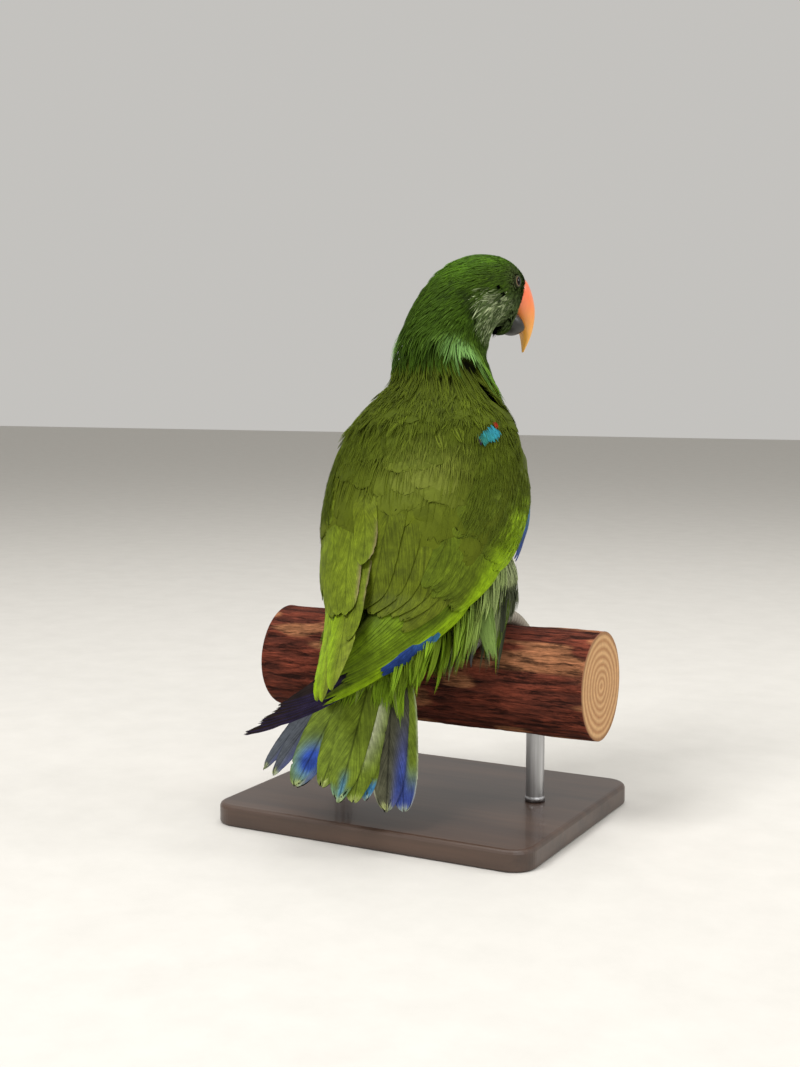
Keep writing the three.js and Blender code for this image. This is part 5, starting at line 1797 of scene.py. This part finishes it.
def build_eyeball(name, eye, material):
    """An eyeball with a dark pupil and a narrow iris, a little raised at the pupil."""
    first, second = across_eye(eye)
    rows, around = 48, 48
    polar, turn = np.linspace(0.02, math.pi - 0.02, rows), turns(around)
    bulge = 1 + 0.05 * soft_patch((polar, 0.6))
    ring = first * np.cos(turn)[:, None] + second * np.sin(turn)[:, None]
    ring = ring[None] * np.sin(polar)[:, None, None]
    rings = (ring + eye["out"] * np.cos(polar)[:, None, None]) * (EYE_RADIUS * bulge)[:, None, None]
    points, quads, tris = closed_loft(eye["centre"] + rings)
    degrees = np.concatenate([np.repeat(np.degrees(polar), around), [0.0, 180.0]])
    colour = blend(PUPIL, IRIS, ease(31, 32.5, degrees))
    colour = blend(colour, EYE_RIM, ease(37, 40, degrees))
    obj = make_object(f"eyeball_{name}", points, quads, tris, material, colour)
    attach(obj, "root")
    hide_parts(f"eye_{name}")


def build_lids(name, eye, material):
    """A thin wrinkled ring of bare skin round an eye."""
    first, second = across_eye(eye)
    turn, small = turns(LID_STEPS), turns(LID_AROUND)
    squash = 1 - 0.1 * np.abs(np.sin(turn))
    middle = eye["centre"] + eye["out"] * LID_OUT
    circle = first * np.cos(turn)[:, None] + second * (np.sin(turn) * squash)[:, None]
    thick = LID_TUBE * (1 + 0.12 * np.sin(turn * LID_WRINKLES))[:, None]
    points = middle + circle[:, None] * (LID_RADIUS + thick * np.cos(small))[..., None]
    points = (points + eye["out"] * (thick * np.sin(small))[..., None]).reshape(-1, 3)
    quads = np.array(loft_faces(LID_STEPS + 1, LID_AROUND)) % len(points)
    quads, tris = facing_out(points, quads, np.zeros((0, 3)))
    tint = np.broadcast_to(LID_GREEN, points.shape)
    obj = make_object(f"lids_{name}", points, quads, tris, material, tint)
    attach(obj, "root")


# Stations of the bill from its root to its tip: forward and height of the upper edge,
# forward and height of the lower edge, and half width.
UPPER_BILL = np.array([
    (31, 9, 20, -6, 9.5),
    (36.5, 6, 23, -9, 10),
    (42, -2.6, 27, -12.5, 9),
    (45, -11.8, 31.8, -17.5, 7.6),
    (45, -21, 35.8, -23.8, 5.6),
    (42.4, -29.8, 38, -30.8, 3.6),
    (38.4, -38.3, 37.8, -38.8, 0.8),
], float)
LOWER_BILL = np.array([
    (21, -12, 20, -25.5, 7.5),
    (26, -13, 23.5, -28, 8.4),
    (30.5, -15.5, 28.5, -28.6, 7.6),
    (34.3, -20.5, 33.6, -26.8, 5.4),
    (36.8, -23.2, 36.2, -24.4, 1.4),
], float)


def bill_surface(rows, t, angle):
    """Point of the bill: t from its root to its tip, angle 0 on the ridge and pi underneath."""
    t, angle = np.broadcast_arrays(t, angle)
    row = spline(rows, t)
    top = in_head(row[..., 0], 0.0, row[..., 1])
    low = in_head(row[..., 2], 0.0, row[..., 3])
    centre = (top + low) / 2
    across = head_way(0, 1, 0) * (row[..., 4] * np.sin(angle))[..., None]
    return centre + (top - centre) * np.cos(angle)[..., None] + across


BILL_CORAL = linear(244, 120, 76)
BILL_YELLOW = linear(236, 172, 72)
BILL_DARK = linear(30, 31, 26)
BILL_BLACK = linear(20, 20, 19)
NOSTRIL_SHADOW = linear(40, 22, 18)
NOSTRIL_PLACE = (32.8, 6.6, 6.2)
NOSTRIL_RADIUS = 1.5


def bill_body(rows, steps, around, root_colour, tip_colour, fade_from):
    """Closed body of half the bill, with a colour for each point."""
    rings = bill_surface(rows, np.linspace(0, 1, steps)[:, None], turns(around)[None])
    points, quads, tris = closed_loft(rings)
    t = np.concatenate([np.repeat(np.linspace(0, 1, steps), around), [0, 1]])
    return points, quads, tris, blend(root_colour, tip_colour, ease(fade_from, 0.9, t))


def build_bill(material, dark_material):
    """The upper bill with its nostrils, and the lower bill."""
    points, quads, tris, colour = bill_body(UPPER_BILL, 70, 64, BILL_CORAL, BILL_YELLOW, 0.15)
    forward, side, height = NOSTRIL_PLACE
    for sign in (1, -1):
        near = np.linalg.norm(points - in_head(forward, sign * side, height), axis=1)
        dent = soft_patch((near, NOSTRIL_RADIUS))
        # Painted shade: the nostril pits are dented and darkened inside.
        colour = blend(colour, NOSTRIL_SHADOW, np.clip(dent * 1.3, 0, 1))
        points = points - head_way(1, sign, 0) * dent[:, None]
    obj = make_object("bill_top", points, quads, tris, material, colour)
    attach(obj, "root")
    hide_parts("bill_upper")
    points, quads, tris, colour = bill_body(LOWER_BILL, 40, 48, BILL_DARK, BILL_BLACK, 0.2)
    obj = make_object("bill_below", points, quads, tris, dark_material, colour)
    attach(obj, "root")
    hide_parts("bill_lower")


# Feet.

# Toes: splay in millimetres, reach in degrees round the log, 1 for the front and -1 for the
# back, and sideways turn in millimetres.
TOES = {
    "inner_front": (-5, 58, 1, -7),
    "outer_front": (4, 74, 1, 6),
    "inner_back": (-4, 34, -1, -6),
    "outer_back": (5, 48, -1, -6),
}
TOE_RADIUS = 4.2
TOE_TIP = 2.9
TOE_ROWS = 90
TOE_AROUND = 28
TOE_PLATES = 15
CLAW_LENGTH = 3.0
CLAW_BEND = 18.0
CLAW_ARCH = 2.2
CLAW_SINK = 2.0
CLAW_TIP = 0.35
CLAW_ROWS = 24
CLAW_AROUND = 20
SCALE_PALE = linear(150, 142, 126)
SCALE_DARK = linear(92, 86, 78)
ANKLE_SKIN = linear(140, 132, 116)
CLAW_PALE = linear(120, 116, 110)
CLAW_DARK = linear(46, 46, 48)


def log_radius(x, angle):
    """Radius of the uneven log at a place along it and an angle round it."""
    return LOG_RADIUS - 0.7 + 0.5 * np.sin(2 * angle + 0.6) + 0.4 * np.sin(3 * angle + x / 40)


def over_log(side, angle, clearance):
    """Point over the log, the angle measured forward from its top."""
    radius = log_radius(-side, -angle) + clearance
    return place(side, radius * np.sin(angle), radius * np.cos(angle))


def toe_path(foot, toe, count):
    """Middle line of a toe, from the foot's middle round the log."""
    side, _, outwards = FEET[foot]
    splay, reach, direction, turn = TOES[toe]
    t = np.linspace(0, 1, count)
    angle = np.radians(reach * t) * direction
    return over_log(side + outwards * (splay + turn * t), angle, mix(TOE_RADIUS, TOE_TIP, t) + 0.4)


def add_toe(parts, foot, toe):
    """A toe with a ring of raised plates and thicker joints."""
    t = np.linspace(0, 1, TOE_ROWS)
    plates = np.abs(((t * TOE_PLATES) % 1) - 0.5) * 2
    radii = mix(TOE_RADIUS, TOE_TIP, t)[:, None] * (1 + 0.05 * (1 - plates[:, None] ** 4) - 0.03)
    radii = radii * (1 + 0.05 * np.sin(t * math.pi * 3)[:, None]) * np.ones(TOE_AROUND)
    grooves = np.broadcast_to(plates[:, None] ** 6, radii.shape)
    tint = blend(SCALE_PALE, SCALE_DARK, grooves)
    tint = np.concatenate([tint.reshape(-1, 3), tint[0, :1], tint[-1, :1]])
    parts.add(*closed_loft(tube(toe_path(foot, toe, TOE_ROWS), radii, TOE_AROUND)), tint)


def build_claw(foot, toe, material):
    """A claw that goes on from a toe's end and bends on round the log."""
    path = toe_path(foot, toe, 6)
    end = path[-1]
    along = unit(end - path[-2])
    axis = np.array([end[0], LOG_Y, LOG_Z])
    outward = unit((end - axis) * np.array([0, 1, 1]))
    t = np.linspace(0, 1, CLAW_ROWS)
    arch = np.sin(math.pi * t) * CLAW_ARCH - CLAW_SINK * t
    points = end + along * 0.3 + along * (CLAW_LENGTH * t)[:, None] + outward * arch[:, None] - axis
    bend = np.radians(CLAW_BEND * t) * TOES[toe][2]
    y = points[:, 1] * np.cos(bend) - points[:, 2] * np.sin(bend)
    z = points[:, 1] * np.sin(bend) + points[:, 2] * np.cos(bend)
    middle = np.stack([points[:, 0], y, z], axis=1) + axis
    points, quads, tris = closed_loft(tube(middle, mix(TOE_TIP * 0.86, CLAW_TIP, t), CLAW_AROUND))
    shade = np.concatenate([np.repeat(t, CLAW_AROUND), [0, 1]])
    tint = blend(CLAW_PALE, CLAW_DARK, ease(0, 0.6, shade))
    obj = make_object(f"claw_horn_{foot}_{toe}", points, quads, tris, material, tint)
    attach(obj, "root")
    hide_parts(f"claw_{foot}_{toe}")


def build_feet(scale_material, claw_material):
    """Both feet, each with its ankle, four toes and four claws."""
    for foot, (side, forward, outwards) in FEET.items():
        parts = Parts()
        for toe in TOES:
            add_toe(parts, foot, toe)
        ankle = place(side, forward, LOG_RADIUS + 7)
        knee = place(side - outwards, forward - 2, LOG_RADIUS + 20)
        t = np.linspace(0, 1, 30)
        path = ankle + (knee - ankle) * t[:, None]
        parts.add(*closed_loft(tube(path, mix(6.0, 4.5, t), TOE_AROUND)), ANKLE_SKIN)
        tint = np.concatenate(parts.tints)
        obj = make_object(f"toes_{foot}", *parts.shape(), scale_material, tint)
        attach(obj, "root")
        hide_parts(f"foot_{foot}")
        for toe in TOES:
            build_claw(foot, toe, claw_material)


# Perch and stand.

LOG_AXIS = np.array([0, LOG_Y, LOG_Z])
LOG_ROWS = 230
END_RINGS = 30
END_STEP = 0.3
BARK_DARK = linear(66, 34, 26)
BARK_RED = linear(116, 56, 40)
BARK_FLAKE = linear(156, 106, 72)
WOOD_PALE = linear(196, 156, 108)
WOOD_DARK = linear(158, 112, 70)


def cut_end(ring, x):
    """Rings that close an end of the log, from its rim towards its middle."""
    middle = LOG_AXIS + np.array([x, 0, 0])
    flat = (ring - LOG_AXIS) * np.array([0, 1, 1])
    return np.array([middle + flat * share for share in np.linspace(0.985, 0.04, END_RINGS)])


def over_ends(values):
    """Level from 0 to 1 for each point of the log. Its ends take the values of their rims."""
    spread = np.pad(values, ((END_RINGS, END_RINGS), (0, 0)), mode="edge")
    return np.concatenate([(spread * 0.5 + 0.5).ravel(), [0.5, 0.5]])


def log_colour(points, stringy, flakes, cut):
    """Colour of the log: bark where cut is 0, and ringed wood where it is 1."""
    colour = blend(BARK_DARK, BARK_RED, np.clip(over_ends(stringy), 0, 1))
    colour = blend(colour, BARK_FLAKE, ease(0.64, 0.8, over_ends(flakes)) * 0.7)
    reach = np.linalg.norm((points - LOG_AXIS)[:, 1:], axis=1)
    growth = 0.5 + 0.5 * np.sin(reach * 1.5 + 2 * noise(points, 14, 65))
    wood = blend(WOOD_PALE, WOOD_DARK, growth)
    wood = wood * mix(0.7, 1.0, ease(31, 28, reach))[:, None]
    return blend(colour, wood, cut)


def build_perch(material, end_material):
    """The cut length of log, with strings and flakes of bark and pale ringed ends."""
    rows, around = LOG_ROWS, LOG_ROWS
    x = np.linspace(-LOG_LENGTH / 2, LOG_LENGTH / 2, rows)[:, None]
    angle = turns(around)[None]
    radius = log_radius(x, angle)
    ring = np.stack(np.broadcast_arrays(x, radius * np.sin(angle), radius * np.cos(angle)), axis=-1)
    stringy = noise(ring * np.array([0.12, 1, 1]), 2.4, 61)
    stringy = stringy + 0.6 * noise(ring * np.array([0.2, 1, 1]), 1.1, 62)
    flakes = noise(ring * np.array([0.25, 1, 1]), 7, 63)
    depth = 0.45 * stringy + 0.7 * np.maximum(flakes, -0.2)
    depth = np.minimum(depth - 0.4, 0.35) * ease(0, 4, LOG_LENGTH / 2 - np.abs(x))
    radius = radius + depth
    y, z = LOG_Y + radius * np.sin(angle), LOG_Z + radius * np.cos(angle)
    rings = np.stack(np.broadcast_arrays(x, y, z), axis=-1)
    first, last = cut_end(rings[0], x[0, 0] - END_STEP), cut_end(rings[-1], x[-1, 0] + END_STEP)
    whole = np.concatenate([first[::-1], rings, last])
    points, quads, tris = closed_loft(whole)
    row = np.arange(len(whole))
    cut = np.repeat((row < END_RINGS) | (row >= END_RINGS + rows), around)
    cut = np.concatenate([cut, [True, True]]).astype(float)
    colour = log_colour(points, stringy, flakes, cut)
    obj = make_object("log_bark", points, quads, tris, material, colour)
    obj.data.materials.append(end_material)
    strip = np.repeat(np.arange(len(whole) - 1), around)
    at_end = (strip < END_RINGS) | (strip >= len(whole) - 1 - END_RINGS)
    index = np.concatenate([at_end, np.ones(len(tris), bool)]).astype(np.int32)
    obj.data.polygons.foreach_set("material_index", index)
    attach(obj, "root")
    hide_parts("perch")


BASE_HALF_WIDTH = 100.0
BASE_HALF_DEPTH = 82.0
BASE_CORNER = 14.0
BASE_HEIGHT = 12.0
ROD_PLACES = (("right", -65.0), ("left", 65.0))
ROD_RADIUS = 5.4


def build_stand(wood, metal):
    """The flat base with rounded edges, and the two rods with a collar at their feet."""
    rings = []
    for inset, z in (
        (1.2, 0.0),
        (0.4, 0.35),
        (0.0, 1.2),
        (0.0, BASE_HEIGHT - 2.2),
        (0.5, BASE_HEIGHT - 1.0),
        (1.4, BASE_HEIGHT - 0.3),
        (2.6, BASE_HEIGHT),
    ):
        ring = []
        for cx, cy, start in ((1, 1, 0), (-1, 1, 90), (-1, -1, 180), (1, -1, 270)):
            for degrees in np.linspace(start, start + 90, 12):
                a = math.radians(degrees)
                x = cx * (BASE_HALF_WIDTH - BASE_CORNER) + (BASE_CORNER - inset) * math.cos(a)
                y = cy * (BASE_HALF_DEPTH - BASE_CORNER) + (BASE_CORNER - inset) * math.sin(a)
                ring.append((x, y, z))
        rings.append(ring)
    points, quads, tris = closed_loft(np.array(rings, float))
    base = make_object("stand_plinth", points, quads, tris, wood, smooth=False)
    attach(base, "root")
    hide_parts("stand_base")
    z = np.concatenate([[12.3, 12.3, 14.6, 15.2], np.linspace(15.3, 55.0, 20)])
    radii = np.concatenate([[5.6, 5.9, 5.9, ROD_RADIUS], np.full(20, ROD_RADIUS)])
    rows = len(z)
    for name, x in ROD_PLACES:
        path = np.stack([np.full(rows, x), np.full(rows, LOG_Y), z + np.arange(rows) * 1e-3], axis=1)
        points, quads, tris = closed_loft(tube(path, radii, 40))
        rod = make_object(f"stand_post_{name}", points, quads, tris, metal)
        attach(rod, "root")
        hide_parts(f"stand_rod_{name}")


# Stage, light and camera.

FLOOR_HALF = 6000
FLOOR_LINES = 25
FLOOR_LEVEL = -0.2
LIGHT_AIM = (0, 0.02, 0.2)

# Area lights: name, place in metres, power and size.
LIGHTS = (
    ("key", (0.5, 1.2, 1.7), 34, 0.8),
    ("fill", (-1.2, 0.9, 0.9), 9, 1.4),
    ("top", (0.0, -0.4, 1.8), 14, 1.2),
    ("side", (-1.2, -0.55, 0.75), 5, 0.35),
)


def build_stage():
    """A pale floor, a soft sky and four area lights."""
    floor_material = speckled_material("floor_paper", linear(196, 193, 187), linear(202, 199, 193),
                                       30.0, 0.9, bump=0.05)
    n = FLOOR_LINES
    line = np.linspace(-FLOOR_HALF, FLOOR_HALF, n)
    grid = np.array([(a, b, FLOOR_LEVEL) for b in line for a in line])
    cells = [(j * n + i, (j + 1) * n + i) for j in range(n - 1) for i in range(n - 1)]
    quads = [(near, near + 1, far + 1, far) for near, far in cells]
    floor = make_object("floor", grid, quads, np.zeros((0, 3)), floor_material)
    world = bpy.data.worlds.new("studio")
    world.use_nodes = True
    background = world.node_tree.nodes["Background"]
    background.inputs["Color"].default_value = (1.0, 0.98, 0.94, 1)
    background.inputs["Strength"].default_value = 0.55
    bpy.context.scene.world = world
    for name, location, power, size in LIGHTS:
        light = bpy.data.lights.new(name, "AREA")
        light.energy = power
        light.size = size
        obj = bpy.data.objects.new(name, light)
        obj.location = location
        aim = Vector(LIGHT_AIM) - Vector(location)
        obj.rotation_euler = aim.to_track_quat("-Z", "Y").to_euler()
        bpy.context.scene.collection.objects.link(obj)


CAMERA_PLACE = (-0.3939, 0.7752, 0.256)
CAMERA_AHEAD = (0.4695, -0.8829, 0)
CAMERA_RIGHT = (-0.8829, -0.4695, 0)
CAMERA_DOWN = 5.8
CAMERA_LENS = 49.93


def build_camera():
    """The photo's camera, a little above the bird and looking down at it by CAMERA_DOWN degrees."""
    data = bpy.data.cameras.new("photo_camera")
    data.sensor_fit = "VERTICAL"
    data.sensor_height = 36.0
    data.lens = CAMERA_LENS
    data.clip_start = 0.01
    data.clip_end = 50
    camera = bpy.data.objects.new("photo_camera", data)
    pitch = math.radians(CAMERA_DOWN)
    forward = Vector(CAMERA_AHEAD).normalized() * math.cos(pitch) - Vector((0, 0, 1)) * math.sin(pitch)
    right = Vector(CAMERA_RIGHT).normalized()
    up = right.cross(forward)
    turn = Matrix((right, up, -forward)).transposed().to_4x4()
    camera.matrix_world = Matrix.Translation(CAMERA_PLACE) @ turn
    bpy.context.scene.collection.objects.link(camera)
    bpy.context.scene.camera = camera
    bpy.context.scene.view_settings.view_transform = "Standard"


def main():
    """Builds the whole model, then the stage and the camera."""
    coat = plumage_material("feather_coat", 14.0, 0.62, 0.12)
    vanes = plumage_material("feather_vanes", 60.0, 0.5, 0.5, shaft=0.66)
    skin = tinted_material("skin_down", 900.0, 0.85, amount=0.3, specular=0.05)
    horn = tinted_material("bill_horn", 260.0, 0.32, stretch=(1, 1, 0.35), amount=0.08, bump=0.15, coat=0.3)
    dark_horn = tinted_material("dark_horn", 400.0, 0.45, amount=0.25, bump=0.2, coat=0.05)
    eye = tinted_material("eye_wet", 900.0, 0.12, amount=0.15, bump=0.02, specular=0.15)
    lids = tinted_material("lid_skin", 1500.0, 0.7, amount=0.25, bump=0.5, specular=0.05)
    scales = tinted_material("toe_scales", 1100.0, 0.55, amount=0.25, bump=0.5)
    claws = tinted_material("claw_horn", 700.0, 0.35, amount=0.25, bump=0.2)
    bark = bark_material("bark_strings")
    log_end = tinted_material("log_end", 420.0, 0.85, amount=0.16, bump=0.4)
    wood = speckled_material("plinth_wood", linear(46, 34, 28), linear(78, 58, 46), 60.0, 0.4,
                             stretch=(0.08, 1, 1), coat=0.2)
    metal = speckled_material("post_steel", linear(150, 150, 150), linear(196, 196, 198), 300.0, 0.35,
                              stretch=(1, 1, 0.03), metal=1.0)
    build_skin(skin)
    coats = {
        "head_feathers": [
            head_coat(coat, "coat_face", 0.86, 0.985, 1.5, 0.42, 5),
            head_coat(coat, "coat_crown", 0.76, 0.86, 1.5, 0.42, 3),
            head_coat(coat, "coat_head", 0.66, 0.76, 2.2, 0.42, 4),
        ],
        "body_feathers": [
            neck_coat(coat), mantle_coat(coat), cloak_coat(coat),
            under_coat(coat, "coat_rump", 0, 97, 8), under_coat(coat, "coat_front", 97, 181, 9),
            flank_plumes(coat),
        ],
        "wing_feathers": [shoulder_coat(coat)],
        "thigh_feathers": [thigh_plumes(coat)],
    }
    for slot, pieces in coats.items():
        for piece in pieces:
            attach(piece, "root")
    build_wing("right", vanes)
    build_wing("left", vanes)
    build_tail(vanes)
    for name, frame_of_eye in EYES.items():
        build_eyeball(name, frame_of_eye, eye)
        build_lids(name, frame_of_eye, lids)
    build_bill(horn, dark_horn)
    build_feet(scales, claws)
    build_perch(bark, log_end)
    build_stand(wood, metal)
    build_stage()
    build_camera()


main()
